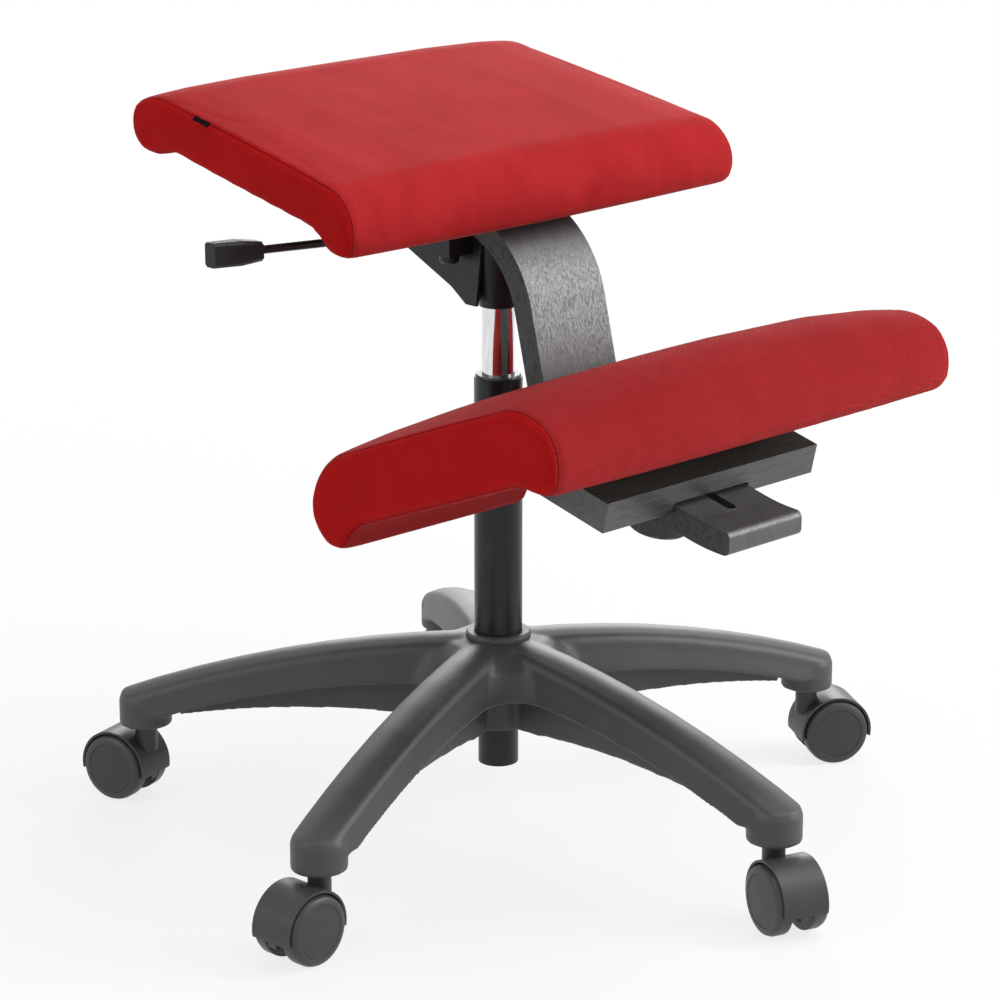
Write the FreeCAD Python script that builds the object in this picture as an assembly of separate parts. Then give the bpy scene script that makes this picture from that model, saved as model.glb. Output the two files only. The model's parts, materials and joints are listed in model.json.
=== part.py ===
"""Kneeling chair on a five-arm castor base.

Millimetres.  The origin is on the floor at the axis of the column, +Z is up, the chair faces -Y and
the user's left is +X.  "Ahead" below means the distance forwards from the column, which is -Y.
The chair is one swivelling upper part (seat, bent wooden arm and height lever) on a gas column, a knee
rest that slides along the slotted end of the arm, and a moulded base on five twin-wheel castors.
"""
import FreeCAD, Part
import math
import os

from FreeCAD import Matrix, Vector

# Base: a moulded star with a tapered socket in its hub
ARM_COUNT = 5
BASE_RADIUS = 320.0          # from the column to each castor stem
FIRST_ARM_DEG = -88.4        # the arm that points nearly straight ahead, measured from +X
HUB_TOP_Z = 172.5            # top of the hub, under the collar
RIDGE_RADIUS = 1075.0        # the ridge of every arm is an arc of this radius
RIDGE_TOP_Z = 175.7          # height of the top of that arc
RIDGE_TOP_BACK = 50.0        # the top of the arc lies this far behind the column
CROWN_HALF = 13.0            # half width of the gently crowned strip along the ridge
CROWN_DROP = 2.6
SHOULDER_DROP = 11.5         # height of the rounded shoulder beside it
ARM_HALF_TOP = 22.0          # half width where the side wall starts
ARM_FLARE = 0.22             # outward lean of the side walls
ARM_WALL = 4.0
ARM_STEP = 40.0              # the ridge bends in steps of about this length
FLANGE_HUB_Z = 130.5         # lower edge of the side walls at the hub
FLANGE_MID_Z = 113.0
FLANGE_TIP_Z = 86.0
RIB_HUB_Z = 91.0             # lower edge of the central rib
RIB_MID_Z = 94.0
RIB_TIP_Z = 79.0
RIB_THICK = 5.0
CROSS_RIB_THICK = 3.0
CROSS_RIBS = (115.0, 173.0, 231.0)
TIP_RADIUS_LOW = 25.5        # round end of the arm
BOSS_RADIUS = 23.5
BOSS_LOW_Z = 71.5
SKIRT_RADIUS = 52.0
SKIRT_LOW_Z = 90.0
SLEEVE_WALL = 7.5            # wall round the tapered socket of the hub

# Collar between the column and the hub
COLLAR_RADIUS = 28.5
COLLAR_HEIGHT = 5.0

# Gas column
TUBE_RADIUS = 21.0
TUBE_WALL = 2.5
TUBE_TOP_Z = 406.5
TUBE_LOW_RADIUS = 17.7       # the tube is drawn in below this cone
TUBE_LOW_Z = 54.5
CONE_TOP_Z = 150.0
CONE_LOW_Z = 98.0
TUBE_FLOOR = 4.0             # turned-in floor that carries the thrust bearing
BUSH_LENGTH = 90.0
BUSH_LIP = 2.0
CYLINDER_RADIUS = 14.0
CYLINDER_WALL = 2.5
CYLINDER_LOW_Z = 170.0
CYLINDER_TOP_Z = 525.0
CYLINDER_TAPER = 1.0         # radius lost towards the top, where it wedges into the seat socket
CYLINDER_END = 12.0
ROD_RADIUS = 5.0
ROD_TOP_Z = 302.0
PISTON_LENGTH = 14.0
BEARING_RADIUS = 12.0
BEARING_HEIGHT = 6.0
SHOULDER_HEIGHT = 4.0
CLIP_RADIUS = 9.5
CLIP_THICK = 1.6
BUTTON_RADIUS = 3.5
BUTTON_TOP_Z = 532.4
BUTTON_LENGTH = 26.0

# Castors, in their own frame: stem on the Z axis, wheels trailing towards +X
WHEEL_RADIUS = 30.0
WHEEL_INNER_Y = 10.4
WHEEL_OUTER_Y = 24.4
WHEEL_ROUND = 4.5
WHEEL_POCKET = 3.2
CAP_RADIUS = 22.4
CAP_DOME = 1.0
CASTOR_TRAIL = 23.6
HOOD_GAP = 1.3
HOOD_WALL = 2.2
HOOD_HALF_WIDTH = 20.5
HOOD_END_DEG = -10.0         # both ends of the hood stop this far round, measured at the axle
HOOD_WEB_HALF = 4.5
HOOD_WEB_LOW_Z = 19.0
HOOD_HUB_RADIUS = 8.0
NECK_RADIUS = 9.8
NECK_LOW_Z = 46.0
STEM_RADIUS = 5.5
STEM_IN_BOSS = 27.0
STEM_IN_NECK = 20.0
STEM_GROOVE = 1.0
AXLE_RADIUS = 3.0
AXLE_HALF = 20.6
CASTOR_TURNS_DEG = (-20.2, -13.1, -17.5, -21.7, -15.0)   # each castor's swing away from its arm

# Seat cushion, measured in the plane of its underside
SEAT_TILT_DEG = 11.3         # front edge down
SEAT_DATUM_AHEAD = -80.0
SEAT_DATUM_Z = 590.0
SEAT_REAR = 148.0            # from the datum back to the rear nose
SEAT_FRONT = 147.5
SEAT_THICK = 40.5
SEAT_HALF = 220.0            # to the seam of the side panel
SEAT_CROWN = 10.0
SEAT_FRONT_BOW = 4.0
SEAT_FRONT_NOSE = ((52, 0), (38, -5.3), (28, -12), (14, -13.7), (1.5, -7), (1.2, 10), (7, 24),
                   (20, 35.8), (42, 40.5))
SEAT_REAR_NOSE = ((57, 0), (44, -6.2), (30, -11.5), (17, -12), (6, -6), (0, 10), (4, 26.5),
                  (19, 35.8), (50, 40.5))
SEAT_BOARD_INSET = 40.0
SEAT_BOARD_THICK = 15.0
SEAT_BOARD_PROUD = 11.5      # how far the board stands below the cushion

# Knee cushion, measured the same way
KNEE_TILT_DEG = 21.6         # front edge up
KNEE_DATUM_AHEAD = 160.0
KNEE_DATUM_Z = 369.6
KNEE_REAR = 141.0
KNEE_FRONT = 163.0
KNEE_THICK = 60.5
KNEE_HALF = 229.2
KNEE_CROWN = 15.0
KNEE_FRONT_NOSE = ((55, 0), (42, -5.2), (29, -11.8), (18, -13.4), (7, -6), (0, 20), (5.5, 39),
                   (25, 54.6), (57, 60.5))
KNEE_REAR_NOSE = ((55, 0), (44, -3), (33, -10.5), (22, -15), (5, -4), (0.2, 15), (8, 36.6),
                  (26, 53.4), (60, 60.5))
KNEE_REAR_HOLLOW = 28.0      # how far the rear edge curves in at the middle
KNEE_FRONT_BOW = 7.0
KNEE_BOARD_INSET = 40.0
KNEE_BOARD_THICK = 12.0
NOTCH_HALF = 50.0            # gap in the rear edge that lets the arm through
NOTCH_GAP = 3.0

# Both cushions.  A nose is its outline as (distance back from its tip, height above the underside):
# four arcs from the flat underside round the hanging lip to the start of the flat top.
PANEL_BULGE = 6.0
PANEL_INSET = 7.0
SEAT_CROWN_POWER = 4.5
KNEE_CROWN_POWER = 2.6
CUSHION_STATIONS = (-1.0, -0.93, -0.8, -0.5, 0.0, 0.5, 0.8, 0.93, 1.0)
TOP_BOW = 0.8                # how far the top bows up between its two noses
SOFT_GAP = 0.3

# Bent laminated arm
WOOD_THICK = 20.5
WOOD_WIDTH = 86.0
LIMB_REAR_AHEAD = -126.0
BEND_1_RADIUS = 89.75
BEND_1_AHEAD = -12.5
DROP_DEG = 76.0              # steepest slope, between the two bends
PLATE_DEG = 13.0             # slope of the slotted end
BEND_2_RADIUS = 60.0
PLATE_DATUM_AHEAD = 252.0
PLATE_DATUM_Z = 354.0        # top face of the slotted end, at its datum
TIP_CURVE_AHEAD = 268.0      # where the end starts to flatten out
TIP_AHEAD = 311.0
TIP_ROUND = 6.0
WOOD_CORNER = 12.0
SLOT_WIDTH = 10.0
SLOT_REAR_AHEAD = 191.0
SLOT_FRONT_AHEAD = 271.0

# Seat bracket, lever and bolts
FLANGE_THICK = 3.0
FLANGE_HALF = 43.0
FLANGE_FRONT_AHEAD = 2.0
CHEEK_OUTER = 27.0
CHEEK_THICK = 3.0
CHEEK_REAR_DEPTH = 38.0
CHEEK_FRONT_AHEAD = 9.0
CHEEK_LOW_AHEAD = -12.0
SOCKET_LOW_Z = 468.5
SOCKET_LOW_RADIUS = 16.5
SOCKET_TOP_RADIUS = 24.5
SOCKET_TOP_Z = 528.0
BOLT_RADIUS = 4.0
BOLT_HEAD_RADIUS = 7.0
BOLT_HEAD_HEIGHT = 5.0
BOLT_ROWS_AHEAD = (-48.0, -108.0)
BOLT_HALF_SPAN = 34.0
LEVER_AHEAD = -18.0
LEVER_PIVOT_X = -40.0
LEVER_PIVOT_Z = 537.6
LEVER_RISE = 0.071           # climb per millimetre of reach
LEVER_ROD_RADIUS = 3.5
LEVER_ROD_END_X = -252.0
GRIP_END_X = -298.0
GRIP_HALF_INNER = 8.0
GRIP_HALF_OUTER = 10.2
GRIP_HALF_DEPTH = 8.0
GRIP_WAIST = 0.42            # share of the grip's length that is tapered
PADDLE_THICK = 3.0
PADDLE_BOTTOM_Z = 532.8
PADDLE_HALF = 13.0
PADDLE_END_X = 10.0
PIVOT_RADIUS = 2.0
BOX_OUTER_X = -54.0
BOX_LOW_Z = 517.0
BOX_HALF = 15.0
BOX_SLOT_HALF = 5.0
STUD_RADIUS = 8.5
STUD_HEIGHT = 8.0

# Wedge that carries the knee rest, and its clamp
WEDGE_HALF = 123.8
WEDGE_FRONT_TOP = (255.6, 373.9)
WEDGE_THICK = 26.9
WEDGE_REAR_AHEAD = 166.0
DADO_RELIEF = 2.5
DADO_RELIEF_LENGTH = 38.0
CLAMP_AHEAD = 203.0
CLAMP_RADIUS = 4.0
CLAMP_HEAD_RADIUS = 10.0
CLAMP_HEAD_THICK = 4.0
WASHER_RADIUS = 15.0
WASHER_THICK = 2.0
KNOB_RADIUS = 28.0
KNOB_HEIGHT = 29.0
KNOB_COLLAR_RADIUS = 14.0
KNOB_COLLAR = 6.0
KNOB_ROUND = 3.0
KNOB_LOBES = 7
KNOB_LOBE_CUT = 1.6

# Clearances
RUNNING = 0.05               # between a shaft and its bore
SLIDING = 0.2                # between the wedge and the wooden end
FACE_GAP = 0.1               # between flat faces that turn on each other
PRESS = 0.02                 # between parts that are pushed together

NECK_TOP_GAP = 0.3

UP = Vector(0, 0, 1)


def polygon(points):
    return Part.makePolygon([Vector(*p) for p in points + [points[0]]])


def prism(points, direction):
    """Solid from a flat outline and the vector it is pushed along."""
    return Part.Face(polygon(points)).extrude(Vector(*direction))


def side_prism(outline, half_width):
    """Solid from (ahead, z) points, as wide on both sides of the middle plane."""
    points = [(-half_width, -ahead, z) for ahead, z in outline]
    return prism(points, (2 * half_width, 0, 0))


def turned(outline):
    """Solid of revolution about Z from (radius, z) points."""
    face = Part.Face(polygon([(r, 0, z) for r, z in outline]))
    return face.revolve(Vector(0, 0, 0), UP, 360)


def cylinder(radius, low, high, x=0.0, y=0.0):
    return Part.makeCylinder(radius, high - low, Vector(x, y, low))


def arc(a, b, c):
    return Part.Arc(a, b, c).toShape()


def line(a, b):
    return Part.LineSegment(a, b).toShape()


def parabola(p, q, r):
    """Height curve through three (x, z) points."""
    def height(x):
        total = 0.0
        for i, (xi, zi) in enumerate((p, q, r)):
            share = zi
            for j, (xj, _) in enumerate((p, q, r)):
                if j != i:
                    share *= (x - xj) / (xi - xj)
            total += share
        return total
    return height


def save(name, shape):
    shape.exportStep(os.path.join("parts", name + ".step"))


# Base

ARM_START = COLLAR_RADIUS + 0.3
BOSS_OUTER = BASE_RADIUS + TIP_RADIUS_LOW
BOSS_INNER = BASE_RADIUS - BOSS_RADIUS
FLANGE_START = SKIRT_RADIUS + 8.0
RIDGE_AXIS = Vector(-RIDGE_TOP_BACK, 0, RIDGE_TOP_Z - RIDGE_RADIUS)
CREASE_DROP = CROWN_DROP + SHOULDER_DROP
flange_z = parabola((FLANGE_START, FLANGE_HUB_Z), (0.625 * BASE_RADIUS, FLANGE_MID_Z),
                    (BOSS_INNER, FLANGE_TIP_Z))
rib_z = parabola((SKIRT_RADIUS, RIB_HUB_Z), (0.535 * BASE_RADIUS, RIB_MID_Z), (BOSS_INNER, RIB_TIP_Z))


def ridge_z(r):
    return RIDGE_AXIS.z + math.sqrt(RIDGE_RADIUS ** 2 - (r + RIDGE_TOP_BACK) ** 2)


def arm_profile(inset):
    """Half of the arm's cross-section as (half width, drop below the ridge): crown, shoulder, wall."""
    half = ARM_HALF_TOP - inset
    crown = CROWN_HALF - 0.6 * inset
    shoulder = (crown + 0.72 * (half - crown), CREASE_DROP - 0.72 * SHOULDER_DROP + 0.3 * inset)
    deep = HUB_TOP_Z - BOSS_LOW_Z
    return ((0, inset), (crown, CROWN_DROP + inset), shoulder, (half, CREASE_DROP),
            (half + ARM_FLARE * deep, CREASE_DROP + deep))


def arm_section(inset):
    """Closed cross-section of the arm, drawn at the top of the ridge arc; a hollow has plain flats."""
    def at(side, pair):
        return Vector(-RIDGE_TOP_BACK, side * pair[0], RIDGE_TOP_Z - pair[1])

    top, crown, shoulder, crease, low = arm_profile(inset)
    corners = [at(-1, low), at(-1, crease), at(-1, crown), at(1, crown), at(1, crease), at(1, low)]
    edges = [line(p, q) for p, q in zip(corners, corners[1:] + corners[:1])]
    if inset == 0:
        edges[1] = arc(at(-1, crease), at(-1, shoulder), at(-1, crown))
        edges[2] = arc(at(-1, crown), at(1, top), at(1, crown))
        edges[3] = arc(at(1, crown), at(1, shoulder), at(1, crease))
    return Part.Wire(edges)


def swept_arm(inset, start, end):
    """The cross-section carried along the ridge arc from radius start to radius end, in short steps."""
    first, last = [math.degrees(math.asin((r + RIDGE_TOP_BACK) / RIDGE_RADIUS)) for r in (start, end)]
    steps = max(1, round((end - start) / ARM_STEP))
    sections = [arm_section(inset).rotated(RIDGE_AXIS, Vector(0, 1, 0), first + (last - first) * i / steps)
                for i in range(steps + 1)]
    return Part.makeLoft(sections, True, True)


def below_curve(curve, start, end, reach, low):
    """Block under a height curve, as far as reach, that the lower edges of an arm are cut with."""
    steps = [start + (end - start) * i / 4 for i in range(5)]
    edge = Part.BSplineCurve()
    edge.interpolate([Vector(r, -BASE_RADIUS, curve(r)) for r in steps])
    first, last = edge.getPoles()[0], edge.getPoles()[-1]
    corners = [last, Vector(reach, -BASE_RADIUS, curve(end)), Vector(reach, -BASE_RADIUS, low),
               Vector(start, -BASE_RADIUS, low), first]
    sides = [line(p, q) for p, q in zip(corners, corners[1:])]
    outline = Part.Wire([edge.toShape()] + sides)
    return Part.Face(outline).extrude(Vector(0, 2 * BASE_RADIUS, 0))


def round_end():
    """The arm's own cross-section turned about the castor stem, which rounds the end of the arm."""
    top, crown, shoulder, crease, _ = arm_profile(0)
    ridge = ridge_z(BASE_RADIUS)

    def at(pair):
        return Vector(BASE_RADIUS + pair[0], 0, ridge - pair[1])

    crown_middle = (0.5 * crown[0], 0.25 * CROWN_DROP)
    low = Vector(BOSS_OUTER, 0, BOSS_LOW_Z)
    foot = Vector(BASE_RADIUS, 0, BOSS_LOW_Z)
    outline = Part.Wire([arc(at(top), at(crown_middle), at(crown)), arc(at(crown), at(shoulder), at(crease)),
                         line(at(crease), low), line(low, foot), line(foot, at(top))])
    return Part.Face(outline).revolve(Vector(BASE_RADIUS, 0, 0), UP, 360)


def base_arm():
    """One arm along +X: crowned shell, open below, with ribs and the boss for a castor stem."""
    outer = swept_arm(0, ARM_START, BOSS_OUTER + ARM_WALL)
    straight = Part.makeBox(BASE_RADIUS - ARM_START + 1.0, 2 * BASE_RADIUS, HUB_TOP_Z,
                            Vector(ARM_START - 1.0, -BASE_RADIUS, BOSS_LOW_Z))
    outer = outer.common(straight.fuse(round_end()))
    hollow_end = BOSS_INNER + 2.0
    hollow = swept_arm(ARM_WALL, SKIRT_RADIUS - 2.0, hollow_end)
    under = below_curve(flange_z, SKIRT_RADIUS, BOSS_INNER + 3.0, BOSS_OUTER + ARM_WALL, -BASE_RADIUS)
    root = Part.makeBox(SKIRT_RADIUS, 2 * BASE_RADIUS, FLANGE_HUB_Z, Vector(0, -BASE_RADIUS, 0))
    shell = outer.cut(hollow).cut(under.fuse(root))
    boss = cylinder(BOSS_RADIUS, BOSS_LOW_Z, ridge_z(BASE_RADIUS) - CREASE_DROP, BASE_RADIUS)
    pieces = [rib_plate(SKIRT_RADIUS - 4.0, BOSS_INNER + 4.0), boss]
    pieces += [cross_rib(r) for r in CROSS_RIBS]
    return shell.fuse(pieces)


def rib_plate(start, end):
    """Upright rib in the middle of an arm, from its lower curve up into the roof."""
    roof = swept_arm(0.5 * ARM_WALL, start, end)
    plate = Part.makeBox(end - start, RIB_THICK, HUB_TOP_Z, Vector(start, -RIB_THICK / 2, 0))
    return plate.common(roof).cut(below_curve(rib_z, start - 1.0, end + 1.0, BASE_RADIUS, -BASE_RADIUS))


def cross_rib(r):
    """Thin rib from wall to wall under the roof of an arm."""
    inside = swept_arm(0.5 * ARM_WALL, r - ARM_STEP, r + ARM_STEP)
    plate = Part.makeBox(CROSS_RIB_THICK, 2 * ARM_HALF_TOP + 2 * ARM_WALL, HUB_TOP_Z,
                         Vector(r, -ARM_HALF_TOP - ARM_WALL, flange_z(r) + ARM_WALL))
    return plate.common(inside)


def socket_radius(z):
    """Radius of the tapered lower end of the column at height z."""
    if z <= CONE_LOW_Z:
        return TUBE_LOW_RADIUS
    if z >= CONE_TOP_Z:
        return TUBE_RADIUS
    share = (z - CONE_LOW_Z) / (CONE_TOP_Z - CONE_LOW_Z)
    return TUBE_LOW_RADIUS + share * (TUBE_RADIUS - TUBE_LOW_RADIUS)


def column_outline(extra, low, high):
    """Outer line of the column's lower part between two heights, pushed out by extra."""
    return [(socket_radius(z) + extra, z) for z in (low, CONE_LOW_Z, CONE_TOP_Z, high)]


def star_base():
    arm = base_arm()
    hub_rim_z = HUB_TOP_Z - 14.0
    hub = turned([(0, SKIRT_LOW_Z), (SKIRT_RADIUS, SKIRT_LOW_Z), (SKIRT_RADIUS, hub_rim_z - 12.0),
                  (SKIRT_RADIUS + 5.0, hub_rim_z - 6.0), (SKIRT_RADIUS + 1.0, hub_rim_z),
                  (COLLAR_RADIUS + 8.0, HUB_TOP_Z - 3.0), (COLLAR_RADIUS, HUB_TOP_Z - 1.0),
                  (0, HUB_TOP_Z - 1.0)])
    body = hub
    for i in range(ARM_COUNT):
        turn = FIRST_ARM_DEG + 360.0 * i / ARM_COUNT
        body = body.fuse(arm.rotated(Vector(0, 0, 0), UP, turn))
    sleeve = TUBE_LOW_RADIUS + SLEEVE_WALL
    moat = turned([(sleeve, SKIRT_LOW_Z - 1), (SKIRT_RADIUS - ARM_WALL, SKIRT_LOW_Z - 1),
                   (SKIRT_RADIUS - ARM_WALL, HUB_TOP_Z - 24.0), (sleeve, HUB_TOP_Z - 24.0)])
    for i in range(ARM_COUNT):
        turn = FIRST_ARM_DEG + 360.0 * i / ARM_COUNT
        web = Part.makeBox(SKIRT_RADIUS, RIB_THICK, HUB_TOP_Z, Vector(0, -RIB_THICK / 2, 0))
        moat = moat.cut(web.rotated(Vector(0, 0, 0), UP, turn))
    body = body.cut(moat)
    bore = turned([(0, SKIRT_LOW_Z - 1)] + column_outline(PRESS, SKIRT_LOW_Z - 1, HUB_TOP_Z + 1)
                  + [(0, HUB_TOP_Z + 1)])
    body = body.cut(bore)
    for i in range(ARM_COUNT):
        x, y = stem_place(i)
        body = body.cut(cylinder(STEM_RADIUS + RUNNING, BOSS_LOW_Z - 1,
                                 BOSS_LOW_Z + STEM_IN_BOSS + 1.0, x, y))
    return body.removeSplitter()


def stem_place(i):
    a = math.radians(FIRST_ARM_DEG + 360.0 * i / ARM_COUNT)
    return BASE_RADIUS * math.cos(a), BASE_RADIUS * math.sin(a)


def hub_collar():
    inner = TUBE_RADIUS + RUNNING
    low = HUB_TOP_Z - 1.0
    chamfer = 0.3 * COLLAR_HEIGHT
    return turned([(inner, low), (COLLAR_RADIUS, low), (COLLAR_RADIUS, low + COLLAR_HEIGHT - chamfer),
                   (COLLAR_RADIUS - chamfer, low + COLLAR_HEIGHT), (inner, low + COLLAR_HEIGHT)])


# Column

def column_tube():
    """Steel tube with a drawn-in lower end and a turned-in floor."""
    outer = [(0, TUBE_LOW_Z)] + column_outline(0.0, TUBE_LOW_Z, TUBE_TOP_Z) + [(0, TUBE_TOP_Z)]
    floor = TUBE_LOW_Z + TUBE_FLOOR
    inner = [(0, floor)] + column_outline(-TUBE_WALL, floor, TUBE_TOP_Z + 1) + [(0, TUBE_TOP_Z + 1)]
    hole = cylinder(ROD_RADIUS + 1.0, TUBE_LOW_Z - 1, floor + 1)
    return turned(outer).cut(turned(inner)).cut(hole)


def column_bushing():
    """Plastic guide in the mouth of the tube, with a lip over its edge."""
    outer = TUBE_RADIUS - TUBE_WALL - PRESS
    inner = CYLINDER_RADIUS + RUNNING
    top = TUBE_TOP_Z + BUSH_LIP
    return turned([(inner, TUBE_TOP_Z - BUSH_LENGTH), (outer, TUBE_TOP_Z - BUSH_LENGTH),
                   (outer, TUBE_TOP_Z), (TUBE_RADIUS - 1.0, TUBE_TOP_Z), (TUBE_RADIUS - 2.0, top),
                   (inner, top)])


def thrust_bearing():
    low = TUBE_LOW_Z + TUBE_FLOOR
    return turned([(ROD_RADIUS + RUNNING, low), (BEARING_RADIUS, low),
                   (BEARING_RADIUS, low + BEARING_HEIGHT), (ROD_RADIUS + RUNNING, low + BEARING_HEIGHT)])


def piston_rod():
    """Rod fixed at the foot of the tube, with its piston inside the cylinder."""
    shoulder = TUBE_LOW_Z + TUBE_FLOOR + BEARING_HEIGHT + FACE_GAP
    groove_top = TUBE_LOW_Z - FACE_GAP
    groove_low = groove_top - CLIP_THICK
    foot = groove_low - 2.5
    waist = ROD_RADIUS - 1.0
    piston = CYLINDER_RADIUS - CYLINDER_WALL - 0.3
    return turned([(0, foot), (ROD_RADIUS, foot), (ROD_RADIUS, groove_low), (waist, groove_low),
                   (waist, groove_top), (ROD_RADIUS, groove_top), (ROD_RADIUS, shoulder),
                   (ROD_RADIUS + 4.0, shoulder), (ROD_RADIUS + 4.0, shoulder + SHOULDER_HEIGHT),
                   (ROD_RADIUS, shoulder + SHOULDER_HEIGHT), (ROD_RADIUS, ROD_TOP_Z - PISTON_LENGTH),
                   (piston, ROD_TOP_Z - PISTON_LENGTH), (piston, ROD_TOP_Z), (0, ROD_TOP_Z)])


def retaining_clip():
    """Spring clip in the groove of the rod, open on one side."""
    high = TUBE_LOW_Z - FACE_GAP
    waist = ROD_RADIUS - 1.0 + PRESS
    ring = turned([(waist, high - CLIP_THICK), (CLIP_RADIUS, high - CLIP_THICK), (CLIP_RADIUS, high),
                   (waist, high)])
    mouth = Part.makeBox(2 * CLIP_RADIUS, 1.6 * waist, 4 * CLIP_THICK,
                         Vector(0, -0.8 * waist, high - 2.5 * CLIP_THICK))
    return ring.cut(mouth)


def cylinder_radius(z):
    """Radius of the gas cylinder: straight below the seat socket, tapered inside it."""
    if z <= SOCKET_LOW_Z:
        return CYLINDER_RADIUS
    return CYLINDER_RADIUS - CYLINDER_TAPER * (z - SOCKET_LOW_Z) / (CYLINDER_TOP_Z - SOCKET_LOW_Z)


def gas_cylinder():
    top_radius = cylinder_radius(CYLINDER_TOP_Z)
    body = turned([(0, CYLINDER_LOW_Z), (CYLINDER_RADIUS, CYLINDER_LOW_Z), (CYLINDER_RADIUS, SOCKET_LOW_Z),
                   (top_radius, CYLINDER_TOP_Z - 1.0), (top_radius - 1.0, CYLINDER_TOP_Z),
                   (0, CYLINDER_TOP_Z)])
    inner = CYLINDER_RADIUS - CYLINDER_WALL
    cavity_top = CYLINDER_TOP_Z - 1.5 * CYLINDER_END
    body = body.cut(turned([(0, CYLINDER_LOW_Z + CYLINDER_END), (inner, CYLINDER_LOW_Z + CYLINDER_END),
                            (inner, SOCKET_LOW_Z), (inner - CYLINDER_TAPER, cavity_top), (0, cavity_top)]))
    body = body.cut(cylinder(ROD_RADIUS + RUNNING, CYLINDER_LOW_Z - 1, CYLINDER_LOW_Z + CYLINDER_END + 1))
    return body.cut(cylinder(BUTTON_RADIUS + RUNNING, cavity_top - 1, CYLINDER_TOP_Z + 1))


def valve_button():
    return turned([(0, BUTTON_TOP_Z - BUTTON_LENGTH), (BUTTON_RADIUS, BUTTON_TOP_Z - BUTTON_LENGTH),
                   (BUTTON_RADIUS, BUTTON_TOP_Z - 0.8), (0.6 * BUTTON_RADIUS, BUTTON_TOP_Z),
                   (0, BUTTON_TOP_Z)])


# Castors, modelled in their own frame and then carried to each arm

def about_axle(shape_outline):
    """Solid of revolution about the axle line from (radius, y) points."""
    face = Part.Face(polygon([(CASTOR_TRAIL, y, WHEEL_RADIUS + r) for r, y in shape_outline]))
    return face.revolve(Vector(CASTOR_TRAIL, 0, WHEEL_RADIUS), Vector(0, 1, 0), 360)


def wheel():
    """Wheel on the +Y side, rounded at both shoulders and pocketed for its cap."""
    bore = AXLE_RADIUS + RUNNING
    pocket = CAP_RADIUS + 0.2
    face_y = WHEEL_OUTER_Y
    floor_y = face_y - WHEEL_POCKET
    shoulder = 0.3 * WHEEL_ROUND
    return about_axle([(bore, WHEEL_INNER_Y), (WHEEL_RADIUS, WHEEL_INNER_Y),
                       (WHEEL_RADIUS, face_y - WHEEL_ROUND), (WHEEL_RADIUS - shoulder, face_y - shoulder),
                       (WHEEL_RADIUS - WHEEL_ROUND, face_y), (pocket, face_y), (pocket, floor_y),
                       (bore, floor_y)])


def wheel_cap():
    floor_y = WHEEL_OUTER_Y - WHEEL_POCKET
    edge_y = WHEEL_OUTER_Y - 0.3
    return about_axle([(0, floor_y), (CAP_RADIUS, floor_y), (CAP_RADIUS, edge_y),
                       (0, edge_y + CAP_DOME)])


def ring_sector(inner, outer, half_width, end_deg):
    """Part of a drum about the axle that stops end_deg past level on both sides."""
    drum = Part.makeCylinder(outer, 2 * half_width, Vector(CASTOR_TRAIL, -half_width, WHEEL_RADIUS),
                             Vector(0, 1, 0))
    drum = drum.cut(Part.makeCylinder(inner, 2 * half_width, Vector(CASTOR_TRAIL, -half_width, WHEEL_RADIUS),
                                      Vector(0, 1, 0)))
    reach = 2 * outer
    drop = reach * math.tan(math.radians(end_deg))
    middle = (CASTOR_TRAIL, -2 * half_width, WHEEL_RADIUS)
    below = prism([middle, (CASTOR_TRAIL + reach, -2 * half_width, WHEEL_RADIUS + drop),
                   (CASTOR_TRAIL + reach, -2 * half_width, WHEEL_RADIUS - reach),
                   (CASTOR_TRAIL - reach, -2 * half_width, WHEEL_RADIUS - reach),
                   (CASTOR_TRAIL - reach, -2 * half_width, WHEEL_RADIUS + drop)], (0, 4 * half_width, 0))
    return drum.cut(below)


def hood():
    """Curved cover over both wheels, with the web between them and the neck of the stem."""
    inner = WHEEL_RADIUS + HOOD_GAP
    cover = ring_sector(inner, inner + HOOD_WALL, HOOD_HALF_WIDTH, HOOD_END_DEG)
    web = Part.makeCylinder(inner + 0.5 * HOOD_WALL, 2 * HOOD_WEB_HALF,
                            Vector(CASTOR_TRAIL, -HOOD_WEB_HALF, WHEEL_RADIUS), Vector(0, 1, 0))
    floor = Part.makeBox(4 * inner, 4 * inner, 4 * inner,
                         Vector(-2 * inner, -2 * inner, HOOD_WEB_LOW_Z - 4 * inner))
    web = web.cut(floor)
    hub_half = WHEEL_INNER_Y - 0.3
    hub = Part.makeCylinder(HOOD_HUB_RADIUS, 2 * hub_half, Vector(CASTOR_TRAIL, -hub_half, WHEEL_RADIUS),
                            Vector(0, 1, 0))
    neck = cylinder(NECK_RADIUS, NECK_LOW_Z, BOSS_LOW_Z - NECK_TOP_GAP)
    body = cover.fuse([web, hub, neck])
    body = body.cut(cylinder(STEM_RADIUS + PRESS, BOSS_LOW_Z - STEM_IN_NECK, BOSS_LOW_Z + 1))
    axle_hole = Part.makeCylinder(AXLE_RADIUS + PRESS, 4 * hub_half,
                                  Vector(CASTOR_TRAIL, -2 * hub_half, WHEEL_RADIUS), Vector(0, 1, 0))
    return body.cut(axle_hole).removeSplitter()


def stem():
    """Stem with a grip groove near its rounded top."""
    low, high = BOSS_LOW_Z - STEM_IN_NECK, BOSS_LOW_Z + STEM_IN_BOSS
    groove = high - 6.0
    waist = STEM_RADIUS - STEM_GROOVE
    return turned([(0, low), (STEM_RADIUS, low), (STEM_RADIUS, groove - 3.0), (waist, groove - 3.0),
                   (waist, groove), (STEM_RADIUS, groove), (STEM_RADIUS, high - 1.5),
                   (STEM_RADIUS - 1.5, high), (0, high)])


def axle():
    return Part.makeCylinder(AXLE_RADIUS, 2 * AXLE_HALF, Vector(CASTOR_TRAIL, -AXLE_HALF, WHEEL_RADIUS),
                             Vector(0, 1, 0))


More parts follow.
